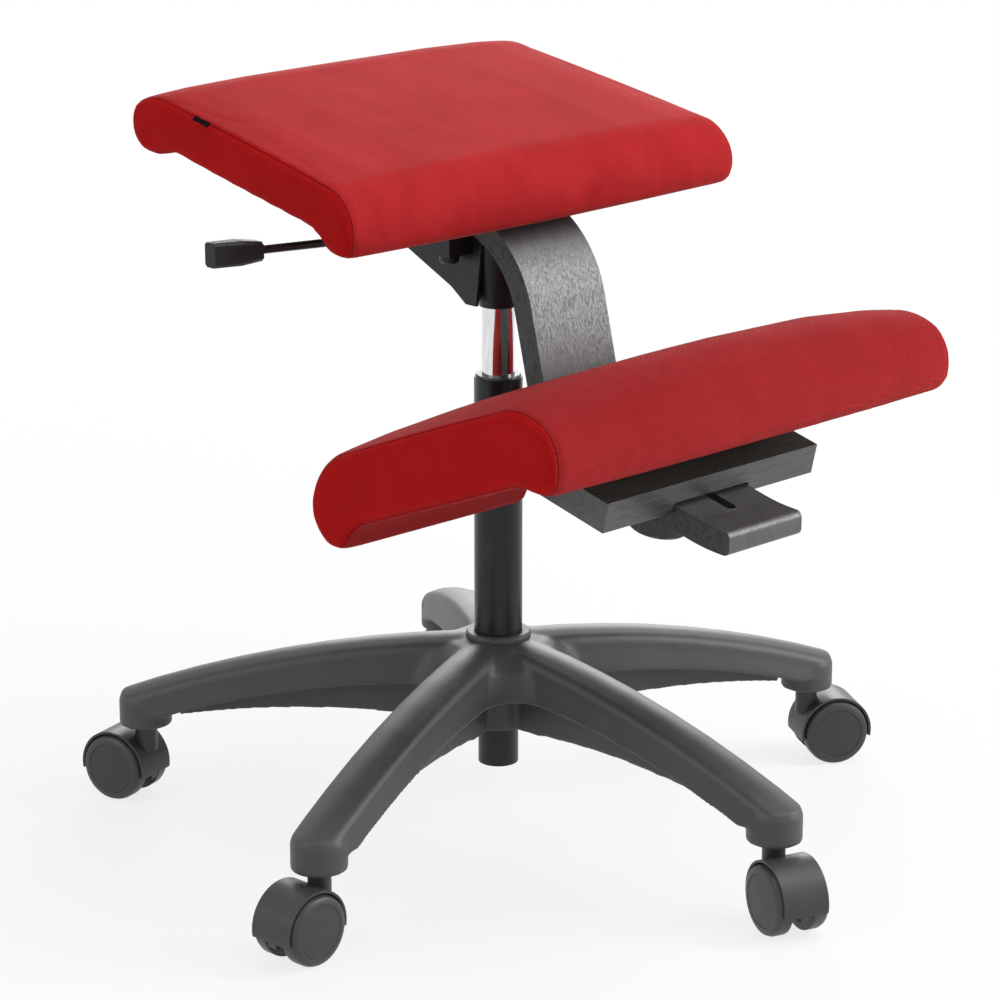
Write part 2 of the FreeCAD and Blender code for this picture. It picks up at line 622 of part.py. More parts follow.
def other_side(shape):
    """The same piece on the -Y side of the castor."""
    return shape.rotated(Vector(CASTOR_TRAIL, 0, 0), UP, 180)


def castors():
    left_wheel, left_cap = wheel(), wheel_cap()
    pieces = {"hood": hood(), "stem": stem(), "axle": axle(), "wheel_left": left_wheel,
              "wheel_right": other_side(left_wheel), "cap_left": left_cap,
              "cap_right": other_side(left_cap)}
    for i, swing in enumerate(CASTOR_TURNS_DEG):
        x, y = stem_place(i)
        turn = FIRST_ARM_DEG + 360.0 * i / ARM_COUNT + swing
        for piece, shape in pieces.items():
            placed = shape.rotated(Vector(0, 0, 0), UP, turn).translated(Vector(x, y, 0))
            save("castor_%s_%d" % (piece, i + 1), placed)


# Slanted planes of the two cushions

class Slant:
    """Frame on the underside of a cushion: s runs forwards along it, t stands square to it."""

    def __init__(self, ahead, z, tilt_deg):
        self.ahead, self.z = ahead, z
        self.cos, self.sin = math.cos(math.radians(tilt_deg)), math.sin(math.radians(tilt_deg))

    def place(self, s, t):
        return self.ahead + s * self.cos - t * self.sin, self.z + s * self.sin + t * self.cos

    def vector(self, x, s, t):
        ahead, z = self.place(s, t)
        return Vector(x, -ahead, z)

    def s_at(self, ahead, t=0.0):
        return (ahead - self.ahead + t * self.sin) / self.cos

    def z_at(self, ahead, t=0.0):
        return self.place(self.s_at(ahead, t), t)[1]

    def slab(self, half, s_low, s_high, t_low, t_high):
        """Box in this frame, as wide on both sides of the middle plane."""
        corners = [self.place(s, t) for s, t in ((s_low, t_low), (s_high, t_low), (s_high, t_high),
                                                 (s_low, t_high))]
        return side_prism(corners, half)

    def pin(self, radius, x, s, t_low, t_high):
        """Cylinder square to this plane."""
        foot, head = self.vector(x, s, t_low), self.vector(x, s, t_high)
        return Part.makeCylinder(radius, t_high - t_low, foot, head - foot)


SEAT = Slant(SEAT_DATUM_AHEAD, SEAT_DATUM_Z, -SEAT_TILT_DEG)
KNEE = Slant(KNEE_DATUM_AHEAD, KNEE_DATUM_Z, KNEE_TILT_DEG)


def cushion_section(frame, x, rear, front, noses, thick, crown):
    """Outline of a cushion at width x: two rolled noses with hanging lips, joined by a crowned top."""
    lift = (thick + crown) / thick

    def at(s, t):
        return frame.vector(x, s, t * lift if t > 0 else t)

    rear_nose, front_nose = noses
    back = [at(-rear + away, t) for away, t in rear_nose]
    ahead = [at(front - away, t) for away, t in front_nose]
    edges = [arc(*back[i:i + 3]) for i in (0, 2, 4, 6)]
    edges.append(arc(back[8], at(0.5 * (front - rear), thick + TOP_BOW), ahead[8]))
    edges += [arc(ahead[i + 2], ahead[i + 1], ahead[i]) for i in (6, 4, 2, 0)]
    edges.append(line(ahead[0], back[0]))
    return Part.Wire(edges)


def crown_at(share, crown, power):
    return crown * (1.0 - abs(share) ** power)


def cushion(sections, tilt_deg):
    """Cushion from its cross-sections: a smooth middle and a slightly bulged panel at each side."""
    middle = Part.makeLoft([sections(k) for k in CUSHION_STATIONS], True, True)
    ends = []
    for side in (-1.0, 1.0):
        seam = sections(side)
        ends.append(Part.makeLoft([seam, panel_edge(seam, side, tilt_deg)], True, True))
    return middle.fuse(ends)


def panel_edge(seam, side, tilt_deg):
    """The seam drawn in by the same amount on every side and moved out to the face of the panel."""
    across = Vector(1, 0, 0)
    level = seam.rotated(Vector(0, 0, 0), across, tilt_deg)
    box = level.BoundBox
    shrink = Matrix()
    shrink.move(Vector(-box.Center.x, -box.Center.y, -box.Center.z))
    shrink.scale(1.0, 1.0 - 2 * PANEL_INSET / box.YLength, 1.0 - 2 * PANEL_INSET / box.ZLength)
    shrink.move(Vector(box.Center.x + side * PANEL_BULGE, box.Center.y, box.Center.z))
    return level.transformGeometry(shrink).rotated(Vector(0, 0, 0), across, -tilt_deg)


def seat_cushion():
    def section(share):
        return cushion_section(SEAT, share * SEAT_HALF, SEAT_REAR,
                               SEAT_FRONT + SEAT_FRONT_BOW * (1 - share ** 2),
                               (SEAT_REAR_NOSE, SEAT_FRONT_NOSE), SEAT_THICK,
                               crown_at(share, SEAT_CROWN, SEAT_CROWN_POWER))
    body = cushion(section, -SEAT_TILT_DEG)
    return body.cut(seat_board_block(SOFT_GAP))


def seat_board_block(gap):
    half = SEAT_HALF - SEAT_BOARD_INSET + gap
    top = SEAT_BOARD_THICK - SEAT_BOARD_PROUD + gap
    return SEAT.slab(half, -SEAT_REAR + 60 - gap, SEAT_FRONT - 58 + gap, -SEAT_BOARD_PROUD, top)


def knee_cushion():
    def section(share):
        hollow = KNEE_REAR_HOLLOW * (1 - share ** 2)
        return cushion_section(KNEE, share * KNEE_HALF, KNEE_REAR - hollow,
                               KNEE_FRONT + KNEE_FRONT_BOW * (1 - share ** 2),
                               (KNEE_REAR_NOSE, KNEE_FRONT_NOSE), KNEE_THICK,
                               crown_at(share, KNEE_CROWN, KNEE_CROWN_POWER))
    body = cushion(section, KNEE_TILT_DEG)
    return body.cut(knee_board_block(SOFT_GAP)).cut(arm_passage(NOTCH_HALF))


def knee_board_block(gap):
    half = KNEE_HALF - KNEE_BOARD_INSET + gap
    return KNEE.slab(half, -KNEE_REAR + KNEE_REAR_HOLLOW + 56 - gap, KNEE_FRONT - 56 + gap, -gap,
                     KNEE_BOARD_THICK + gap)


def knee_pad_board():
    """Plywood base of the knee cushion, notched like it."""
    half = KNEE_HALF - KNEE_BOARD_INSET
    board = KNEE.slab(half, -KNEE_REAR + KNEE_REAR_HOLLOW + 56, KNEE_FRONT - 56, 0, KNEE_BOARD_THICK)
    return board.cut(arm_passage(NOTCH_HALF)).cut(clamp_shaft(CLAMP_HEAD_RADIUS + 1.0))


# Bent arm

def point(centre, radius, slope_deg, side):
    """Point of a bend where the wood slopes down by slope_deg; side is +1 on its outer face."""
    a = math.radians(slope_deg)
    return centre[0] + side * radius * math.sin(a), centre[1] + side * radius * math.cos(a)


LIMB_TOP = -SEAT_BOARD_PROUD          # the limb's upper face lies against the seat board
LIMB_MID = LIMB_TOP - 0.5 * WOOD_THICK
BEND_1 = (BEND_1_AHEAD,
          SEAT.z_at(BEND_1_AHEAD + BEND_1_RADIUS * math.sin(math.radians(SEAT_TILT_DEG)), LIMB_MID)
          - BEND_1_RADIUS * math.cos(math.radians(SEAT_TILT_DEG)))
PLATE_SLOPE = math.tan(math.radians(PLATE_DEG))
PLATE_COS = math.cos(math.radians(PLATE_DEG))
PLATE_SIN = math.sin(math.radians(PLATE_DEG))


def plate_z(ahead, below_top=0.0):
    """Height of the straight slotted end, below_top millimetres square under its top face."""
    return PLATE_DATUM_Z - below_top / PLATE_COS + PLATE_SLOPE * (PLATE_DATUM_AHEAD - ahead)


def second_bend():
    """Centre of the lower bend: it touches the drop and the slotted end on their middle lines."""
    drop_start = point(BEND_1, BEND_1_RADIUS, DROP_DEG, 1)
    run = 1.0 / math.tan(math.radians(DROP_DEG))
    mid_z = plate_z(0.0, 0.5 * WOOD_THICK)
    ahead = (drop_start[0] + run * (drop_start[1] - mid_z)) / (1.0 - run * PLATE_SLOPE)
    meet = (ahead, mid_z - PLATE_SLOPE * ahead)
    reach = BEND_2_RADIUS * math.tan(math.radians(0.5 * (DROP_DEG - PLATE_DEG)))
    start = (meet[0] - reach * math.cos(math.radians(DROP_DEG)),
             meet[1] + reach * math.sin(math.radians(DROP_DEG)))
    a = math.radians(DROP_DEG)
    return start[0] + BEND_2_RADIUS * math.sin(a), start[1] + BEND_2_RADIUS * math.cos(a)


BEND_2 = second_bend()
TIP_RADIUS = (TIP_AHEAD - TIP_CURVE_AHEAD) / PLATE_SIN
TIP_CENTRE = (TIP_AHEAD, plate_z(TIP_CURVE_AHEAD, 0.5 * WOOD_THICK) + TIP_RADIUS * PLATE_COS)


def wood_face(offset):
    """Edges of one face of the bent wood from rear to tip; offset is +1 on top, -1 underneath."""
    half = 0.5 * offset * WOOD_THICK

    def vec(pair):
        return Vector(0, -pair[0], pair[1])

    rear_s = SEAT.s_at(LIMB_REAR_AHEAD)
    a = SEAT.vector(0, rear_s, LIMB_MID + half)
    b0 = vec(point(BEND_1, BEND_1_RADIUS + half, SEAT_TILT_DEG, 1))
    b1 = vec(point(BEND_1, BEND_1_RADIUS + half, 0.5 * (SEAT_TILT_DEG + DROP_DEG), 1))
    b2 = vec(point(BEND_1, BEND_1_RADIUS + half, DROP_DEG, 1))
    c0 = vec(point(BEND_2, BEND_2_RADIUS - half, DROP_DEG, -1))
    c1 = vec(point(BEND_2, BEND_2_RADIUS - half, 0.5 * (DROP_DEG + PLATE_DEG), -1))
    c2 = vec(point(BEND_2, BEND_2_RADIUS - half, PLATE_DEG, -1))
    d0 = vec(point(TIP_CENTRE, TIP_RADIUS - half, PLATE_DEG, -1))
    d1 = vec(point(TIP_CENTRE, TIP_RADIUS - half, 0.5 * PLATE_DEG, -1))
    d2 = vec(point(TIP_CENTRE, TIP_RADIUS - half, 0.0, -1))
    return [line(a, b0), arc(b0, b1, b2), line(b2, c0), arc(c0, c1, c2), line(c2, d0), arc(d0, d1, d2)]


def bent_arm():
    """Laminated arm: limb under the seat, drop in front of the column, slotted end for the knee rest."""
    top, bottom = wood_face(1), wood_face(-1)
    ends = [line(top[-1].Vertexes[-1].Point, bottom[-1].Vertexes[-1].Point),
            line(bottom[0].Vertexes[0].Point, top[0].Vertexes[0].Point)]
    outline = Part.Wire(Part.__sortEdges__(top + bottom + ends))
    body = Part.Face(outline).extrude(Vector(WOOD_WIDTH, 0, 0)).translated(Vector(-WOOD_WIDTH / 2, 0, 0))
    rims = [e for e in body.Edges if abs(e.BoundBox.YMax + TIP_AHEAD) < 0.01
            and abs(e.BoundBox.YMin + TIP_AHEAD) < 0.01 and e.BoundBox.XLength > 0.9 * WOOD_WIDTH]
    body = body.makeFillet(TIP_ROUND, rims)
    body = body.cut(slot_cut())
    for x, ahead in bolt_places():
        body = body.cut(SEAT.pin(BOLT_RADIUS + RUNNING, x, SEAT.s_at(ahead), -60, 10))
    return body


PLATE = Slant(PLATE_DATUM_AHEAD, PLATE_DATUM_Z, -PLATE_DEG)


def slot_cut():
    """Slot through the end of the arm, square to it, with round ends."""
    s0, s1 = PLATE.s_at(SLOT_REAR_AHEAD), PLATE.s_at(SLOT_FRONT_AHEAD)
    deep = 2 * WOOD_THICK
    half = 0.5 * SLOT_WIDTH
    return PLATE.slab(half, s0, s1, -deep, deep).fuse([PLATE.pin(half, 0, s0, -deep, deep),
                                                       PLATE.pin(half, 0, s1, -deep, deep)])


def arm_passage(half):
    """Space that the arm needs in the knee rest, with the knee rest at the rear of its travel."""
    shift = KNEE_TRAVEL_BACK
    centre = (BEND_2[0] + shift * PLATE_COS, BEND_2[1] - shift * PLATE_SIN)
    radius = BEND_2_RADIUS - 0.5 * WOOD_THICK - NOTCH_GAP

    def vec(pair):
        return Vector(-half, -pair[0], pair[1])

    level = vec((centre[0] - radius, centre[1]))
    low = vec(point(centre, radius, PLATE_DEG, -1))
    between = vec(point(centre, radius, 0.5 * (90 + PLATE_DEG), -1))
    high_z = KNEE_DATUM_Z + 2 * KNEE_FRONT
    upper = vec((centre[0] - radius, high_z))
    back = vec((-2 * KNEE_REAR, high_z))
    back_low = vec((-2 * KNEE_REAR, PLATE_DATUM_Z - KNEE_REAR))
    exit_ahead = KNEE_DATUM_AHEAD + 60.0
    leave_z = point(centre, radius, PLATE_DEG, -1)[1] - PLATE_SLOPE * (
        exit_ahead - point(centre, radius, PLATE_DEG, -1)[0])
    leave = vec((exit_ahead, leave_z))
    leave_low = vec((exit_ahead, PLATE_DATUM_Z - KNEE_REAR))
    outline = Part.Wire([line(upper, level), arc(level, between, low), line(low, leave),
                         line(leave, leave_low), line(leave_low, back_low), line(back_low, back),
                         line(back, upper)])
    return Part.Face(outline).extrude(Vector(2 * half, 0, 0))


KNEE_TRAVEL_BACK = 10.0


# Seat bracket and lever

BRACKET_TOP = LIMB_TOP - WOOD_THICK
BRACKET_LOW = BRACKET_TOP - FLANGE_THICK


def bolt_places():
    return [(x, ahead) for ahead in BOLT_ROWS_AHEAD for x in (-BOLT_HALF_SPAN, BOLT_HALF_SPAN)]


def cheek_outline():
    """Outline of a side plate, in (ahead, z): it runs down from the rear to the foot of the socket."""
    rear = LIMB_REAR_AHEAD + 2.0
    rear_top = SEAT.z_at(rear, BRACKET_LOW + 1.0)
    front_top = SEAT.z_at(CHEEK_FRONT_AHEAD, BRACKET_LOW + 1.0)
    foot_z = SOCKET_LOW_Z + 3.0
    return [(rear, rear_top), (rear, rear_top - CHEEK_REAR_DEPTH), (CHEEK_LOW_AHEAD - 18.0, foot_z + 12.5),
            (CHEEK_LOW_AHEAD, foot_z), (CHEEK_FRONT_AHEAD - 8.0, foot_z), (CHEEK_FRONT_AHEAD, front_top)]


def seat_bracket():
    """Welded steel bracket: flange under the arm, two side plates, a belly between them and the socket."""
    rear_s, front_s = SEAT.s_at(LIMB_REAR_AHEAD + 1.0), SEAT.s_at(FLANGE_FRONT_AHEAD)
    flange = SEAT.slab(FLANGE_HALF, rear_s, front_s, BRACKET_LOW, BRACKET_TOP)
    outline = cheek_outline()
    cheeks = []
    for side in (-1, 1):
        low_x = side * CHEEK_OUTER if side < 0 else CHEEK_OUTER - CHEEK_THICK
        cheeks.append(prism([(low_x, -a, z) for a, z in outline], (CHEEK_THICK, 0, 0)))
    rear, knee_point, foot = outline[1], outline[2], outline[3]
    belly = side_prism([rear, knee_point, foot, (foot[0], foot[1] + CHEEK_THICK),
                        (knee_point[0] + 1.0, knee_point[1] + CHEEK_THICK),
                        (rear[0], rear[1] + CHEEK_THICK)], CHEEK_OUTER - 0.5 * CHEEK_THICK)
    socket = turned([(0, SOCKET_LOW_Z), (SOCKET_LOW_RADIUS, SOCKET_LOW_Z),
                     (SOCKET_TOP_RADIUS, SOCKET_TOP_Z - 8.0), (SOCKET_TOP_RADIUS, SOCKET_TOP_Z),
                     (0, SOCKET_TOP_Z)])
    body = flange.fuse(cheeks + [belly, socket])
    top_radius = cylinder_radius(CYLINDER_TOP_Z)
    bore = turned([(0, SOCKET_LOW_Z - 1), (CYLINDER_RADIUS + PRESS, SOCKET_LOW_Z - 1),
                   (CYLINDER_RADIUS + PRESS, SOCKET_LOW_Z), (top_radius + PRESS, CYLINDER_TOP_Z),
                   (top_radius + PRESS, SOCKET_TOP_Z + 1), (0, SOCKET_TOP_Z + 1)])
    body = body.cut(bore)
    window = Part.makeBox(4 * CHEEK_THICK, 2 * BOX_SLOT_HALF + 4.0, 2 * (BOX_SLOT_HALF + 1.0),
                          Vector(-CHEEK_OUTER - CHEEK_THICK, -LEVER_AHEAD - BOX_SLOT_HALF - 2.0,
                                 lever_z(-CHEEK_OUTER) - BOX_SLOT_HALF - 2.0))
    body = body.cut(window)
    for x, ahead in bolt_places():
        body = body.cut(SEAT.pin(BOLT_RADIUS + RUNNING, x, SEAT.s_at(ahead), BRACKET_LOW - 1, 0))
    return body


def seat_bolts():
    """Four bolts from under the flange, through the arm and into the seat board."""
    bolts = []
    for x, ahead in bolt_places():
        s = SEAT.s_at(ahead)
        shank = SEAT.pin(BOLT_RADIUS, x, s, BRACKET_LOW, -0.5)
        head = SEAT.pin(BOLT_HEAD_RADIUS, x, s, BRACKET_LOW - BOLT_HEAD_HEIGHT, BRACKET_LOW)
        bolts.append(shank.fuse(head))
    return Part.makeCompound(bolts)


def seat_board():
    board = seat_board_block(0.0)
    for x, ahead in bolt_places():
        board = board.cut(SEAT.pin(BOLT_RADIUS + RUNNING, x, SEAT.s_at(ahead), -SEAT_BOARD_PROUD - 1, 0))
    return board


def lever_z(x):
    return LEVER_PIVOT_Z - LEVER_RISE * (x - LEVER_PIVOT_X)


def lever_point(x, up=0.0):
    return Vector(x, -LEVER_AHEAD, lever_z(x) + up)


def lever_rod():
    """Rod from the paddle over the valve out to the grip, with the hole for its pivot pin."""
    inner, outer = lever_point(-CHEEK_OUTER + 2.0), lever_point(LEVER_ROD_END_X - 20.0)
    rod = Part.makeCylinder(LEVER_ROD_RADIUS, (outer - inner).Length, inner, outer - inner)
    paddle_x = -CHEEK_OUTER + 3.5
    paddle = Part.makeBox(PADDLE_END_X - paddle_x, 2 * PADDLE_HALF, PADDLE_THICK,
                          Vector(paddle_x, -LEVER_AHEAD - PADDLE_HALF - 10.0, PADDLE_BOTTOM_Z))
    neck = Part.makeBox(8.0, 2 * LEVER_ROD_RADIUS, 5.0,
                        Vector(paddle_x - 5.5, -LEVER_AHEAD - LEVER_ROD_RADIUS, PADDLE_BOTTOM_Z))
    hole = Part.makeCylinder(PIVOT_RADIUS + RUNNING, 4 * BOX_HALF,
                             Vector(LEVER_PIVOT_X, -LEVER_AHEAD - 2 * BOX_HALF, LEVER_PIVOT_Z),
                             Vector(0, 1, 0))
    return rod.fuse([paddle, neck]).cut(hole)


def lever_grip():
    """Moulded paddle grip: round at the rod, flattened and deeper towards its end."""
    start, end = LEVER_ROD_END_X + 3.0, GRIP_END_X
    waist = start + GRIP_WAIST * (end - start)

    def ring(x, half_z, half_y):
        corner = 0.35 * min(half_z, half_y)
        points = [(half_y - corner, half_z), (half_y, half_z - corner), (half_y, -half_z + corner),
                  (half_y - corner, -half_z)]
        points += [(-y, z) for y, z in reversed(points)]
        return polygon([(x, -LEVER_AHEAD + y, lever_z(x) + z) for y, z in points])

    body = Part.makeLoft([ring(start, GRIP_HALF_INNER, GRIP_HALF_DEPTH),
                          ring(waist, GRIP_HALF_OUTER, GRIP_HALF_DEPTH),
                          ring(end, GRIP_HALF_OUTER, 0.8 * GRIP_HALF_DEPTH)], True, True)
    inner, outer = lever_point(LEVER_ROD_END_X + 10.0), lever_point(LEVER_ROD_END_X - 20.0)
    bore = Part.makeCylinder(LEVER_ROD_RADIUS + PRESS, (outer - inner).Length, inner, outer - inner)
    return body.cut(bore)


def lever_housing():
    """Small box on the side plate that carries the pivot pin, with a slot for the rod."""
    top = SEAT.z_at(LEVER_AHEAD + BOX_HALF, BRACKET_LOW) - 0.3
    box = Part.makeBox(-CHEEK_OUTER - BOX_OUTER_X, 2 * BOX_HALF, top - BOX_LOW_Z,
                       Vector(BOX_OUTER_X, -LEVER_AHEAD - BOX_HALF, BOX_LOW_Z))
    slot_low = LEVER_PIVOT_Z - 7.0
    slot = Part.makeBox(100, 2 * BOX_SLOT_HALF, 100,
                        Vector(BOX_OUTER_X - 10, -LEVER_AHEAD - BOX_SLOT_HALF, slot_low))
    stud = cylinder(STUD_RADIUS, BOX_LOW_Z - STUD_HEIGHT, BOX_LOW_Z, LEVER_PIVOT_X, -LEVER_AHEAD)
    rims = [e for e in stud.Edges if e.BoundBox.ZMax < BOX_LOW_Z - STUD_HEIGHT + 0.1]
    stud = stud.makeChamfer(1.5, rims)
    hole = Part.makeCylinder(PIVOT_RADIUS + PRESS, 4 * BOX_HALF,
                             Vector(LEVER_PIVOT_X, -LEVER_AHEAD - 2 * BOX_HALF, LEVER_PIVOT_Z),
                             Vector(0, 1, 0))
    return box.cut(slot).fuse(stud).cut(hole)


def pivot_pin():
    half = BOX_HALF + 1.0
    return Part.makeCylinder(PIVOT_RADIUS, 2 * half, Vector(LEVER_PIVOT_X, -LEVER_AHEAD - half, LEVER_PIVOT_Z),
                             Vector(0, 1, 0))


# Knee rest carriage

def clamp_s():
    return PLATE.s_at(CLAMP_AHEAD)


def clamp_shaft(radius):
    return PLATE.pin(radius, 0, clamp_s(), -4 * WOOD_THICK, 4 * WOOD_THICK)


def knee_wedge():
    """Block between the sloping arm and the knee cushion, with a channel that straddles the arm."""
    front_top = WEDGE_FRONT_TOP
    front_low = (front_top[0] - WEDGE_THICK * PLATE_SIN, front_top[1] - WEDGE_THICK * PLATE_COS)
    base_slope = KNEE.sin / KNEE.cos
    base_zero = KNEE.z_at(0.0)
    crest = (front_top[1] + PLATE_SLOPE * front_top[0] - base_zero) / (base_slope + PLATE_SLOPE)
    rear_low = front_low[1] + PLATE_SLOPE * (front_low[0] - WEDGE_REAR_AHEAD)
    body = side_prism([front_low, front_top, (crest, KNEE.z_at(crest)),
                       (WEDGE_REAR_AHEAD, KNEE.z_at(WEDGE_REAR_AHEAD)), (WEDGE_REAR_AHEAD, rear_low)],
                      WEDGE_HALF)
    channel = PLATE.slab(0.5 * WOOD_WIDTH + 0.5, PLATE.s_at(WEDGE_REAR_AHEAD - 20),
                         PLATE.s_at(front_top[0] + 20), -2 * WOOD_THICK, SLIDING)
    front_s = PLATE.s_at(front_top[0])
    s0 = front_s - DADO_RELIEF_LENGTH
    relief = [PLATE.place(s0, -1), PLATE.place(s0, SLIDING), PLATE.place(front_s + 1, DADO_RELIEF),
              PLATE.place(front_s + 1, -1)]
    body = body.cut(channel).cut(side_prism(relief, 0.5 * WOOD_WIDTH + 0.5))
    body = body.cut(clamp_shaft(CLAMP_RADIUS + RUNNING))
    head_low = clamp_head_low()
    return body.cut(PLATE.pin(CLAMP_HEAD_RADIUS + 0.3, 0, clamp_s(), head_low, 4 * WOOD_THICK))


def clamp_head_low():
    """Seat of the clamp bolt's head, so that the head stays under the knee board."""
    reach = (CLAMP_AHEAD + CLAMP_HEAD_RADIUS - CLAMP_AHEAD)
    lowest = KNEE.z_at(CLAMP_AHEAD - reach)
    return (lowest - plate_z(CLAMP_AHEAD - reach)) * PLATE_COS - CLAMP_HEAD_THICK - 1.0


def clamp_bolt():
    """Bolt from its head in the wedge down through the slot into the knob."""
    head_low = clamp_head_low()
    tail = -WOOD_THICK - WASHER_THICK - KNOB_HEIGHT + 5.0
    head = PLATE.pin(CLAMP_HEAD_RADIUS, 0, clamp_s(), head_low, head_low + CLAMP_HEAD_THICK)
    return head.fuse(PLATE.pin(CLAMP_RADIUS, 0, clamp_s(), tail, head_low))


def clamp_washer():
    high = -WOOD_THICK - FACE_GAP
    ring = PLATE.pin(WASHER_RADIUS, 0, clamp_s(), high - WASHER_THICK, high)
    return ring.cut(PLATE.pin(CLAMP_RADIUS + RUNNING, 0, clamp_s(), high - WASHER_THICK - 1, high + 1))


def clamp_knob():
    """Round hand knob with shallow finger flutes, on a collar under the washer."""
    high = -WOOD_THICK - WASHER_THICK - 2 * FACE_GAP
    low = high - KNOB_HEIGHT
    s = clamp_s()
    disc_top = high - KNOB_COLLAR
    disc = PLATE.pin(KNOB_RADIUS, 0, s, low, disc_top)
    rims = [e for e in disc.Edges if e.Length > 3 * KNOB_RADIUS]
    disc = disc.makeChamfer(KNOB_ROUND, rims)
    flute = 0.3 * KNOB_RADIUS
    for i in range(KNOB_LOBES):
        a = 2 * math.pi * (i + 0.5) / KNOB_LOBES
        reach = KNOB_RADIUS + flute - KNOB_LOBE_CUT
        disc = disc.cut(PLATE.pin(flute, reach * math.cos(a), s + reach * math.sin(a), low - 1, disc_top + 1))
    collar = PLATE.pin(KNOB_COLLAR_RADIUS, 0, s, disc_top - 1, high)
    bore = PLATE.pin(CLAMP_RADIUS + RUNNING, 0, s, low + 4.0, high + 1)
    return disc.fuse(collar).cut(bore)


def main():
    os.makedirs("parts", exist_ok=True)
    save("star_base", star_base())
    save("hub_collar", hub_collar())
    save("column_tube", column_tube())
    save("column_bushing", column_bushing())
    save("thrust_bearing", thrust_bearing())
    save("piston_rod", piston_rod())
    save("retaining_clip", retaining_clip())
    save("gas_cylinder", gas_cylinder())
    save("valve_button", valve_button())
    castors()
    save("seat_bracket", seat_bracket())
    save("seat_bolts", seat_bolts())
    save("seat_board", seat_board())
    save("seat_cushion", seat_cushion())
    save("bent_arm", bent_arm())
    save("lever_rod", lever_rod())
    save("lever_grip", lever_grip())
    save("lever_housing", lever_housing())
    save("lever_pivot_pin", pivot_pin())
    save("knee_wedge", knee_wedge())
    save("knee_pad_board", knee_pad_board())
    save("knee_cushion", knee_cushion())
    save("clamp_bolt", clamp_bolt())
    save("clamp_washer", clamp_washer())
    save("clamp_knob", clamp_knob())


main()
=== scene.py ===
"""Kneeling chair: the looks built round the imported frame.

Metres, in the frame of the solids: floor at z = 0 under the column, +Z up, the chair faces -Y and the
sitter's left is +X.  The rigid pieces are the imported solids, welded and given soft edges, apart from the
star base, which is remeshed as one moulding with hollow corners at its hub.  The two cushions are
remeshed, swollen by cloth pressure, drawn back to their forms and creased at their seams, and the sewing
thread is laid into the creases.
"""
import json
import math

import bmesh
import bpy
import numpy as np
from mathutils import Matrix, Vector
from mathutils.bvhtree import BVHTree


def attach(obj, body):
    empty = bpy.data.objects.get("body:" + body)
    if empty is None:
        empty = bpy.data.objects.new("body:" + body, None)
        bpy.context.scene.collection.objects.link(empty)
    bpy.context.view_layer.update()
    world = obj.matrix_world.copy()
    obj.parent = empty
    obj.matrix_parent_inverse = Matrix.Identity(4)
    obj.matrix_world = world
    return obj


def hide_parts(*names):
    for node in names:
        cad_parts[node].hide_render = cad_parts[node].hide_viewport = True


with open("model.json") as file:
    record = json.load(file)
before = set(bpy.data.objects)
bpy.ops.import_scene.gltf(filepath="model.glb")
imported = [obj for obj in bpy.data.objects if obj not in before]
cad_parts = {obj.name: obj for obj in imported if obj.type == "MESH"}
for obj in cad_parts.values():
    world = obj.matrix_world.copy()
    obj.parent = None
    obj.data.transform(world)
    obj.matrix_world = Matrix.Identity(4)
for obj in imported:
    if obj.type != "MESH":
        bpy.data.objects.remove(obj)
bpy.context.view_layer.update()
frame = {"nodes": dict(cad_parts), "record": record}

MM = 0.001

# The two cushions as the solids have them.  Tilts are about X, lengths run ahead of and behind a datum
SEAT_TILT = math.radians(-11.3)
KNEE_TILT = math.radians(21.6)
SEAT_DATUM = (80.0 * MM, 590.0 * MM)             # y and z of the datum on the cushion's underside
KNEE_DATUM = (-160.0 * MM, 369.6 * MM)
SEAT_REAR, SEAT_FRONT = 148.0 * MM, 147.5 * MM
SEAT_THICK, KNEE_THICK = 40.5 * MM, 60.5 * MM
SEAT_HALF, KNEE_HALF = 220.0 * MM, 229.2 * MM    # from the middle to the seam of a side panel
CROWN, CROWN_POWER = 10.0 * MM, 4.5              # rise of the seat's top at the middle, and its shape

# The sewn seat: its cover narrows towards the rear, reaches further back and lies a little flatter
COVER_TILT = math.radians(-9.95)
COVER_DATUM = (80.0 * MM, 586.4 * MM)
COVER_HALF_REAR, COVER_HALF_FRONT = 205.0 * MM, 220.0 * MM
COVER_REAR, COVER_CROWN = 158.0 * MM, 6.0 * MM

# Making of the pads, their seams and the tag
PAD_VOXEL, PAD_ROUNDS = 5.0 * MM, 3
SWELL_CAP, SETTLE_CAP = 2.5 * MM, 1.6 * MM       # how far a point may move in each step
SEAM_DEPTH, SEAM_REACH = 1.3 * MM, 2.6 * MM
THREAD_RADIUS, THREAD_LIFT, THREAD_STEP = 0.45 * MM, -0.2 * MM, 1.5 * MM
ON_SEAM = 0.02 * MM                              # a point this near the seam's plane lies on the seam
TAG_FRONT, TAG_REAR = 124.0 * MM, 146.0 * MM     # y of the tag's ends
TAG_DOWN, TAG_OUT = (-0.62, 0.0, -0.78), (-0.78, 0.0, 0.62)
TAG_SECTION = ((-1.0, 0.3), (-1.0, 1.0), (3.6, 1.3), (4.6, 1.0), (4.6, 0.5), (3.6, 0.3))

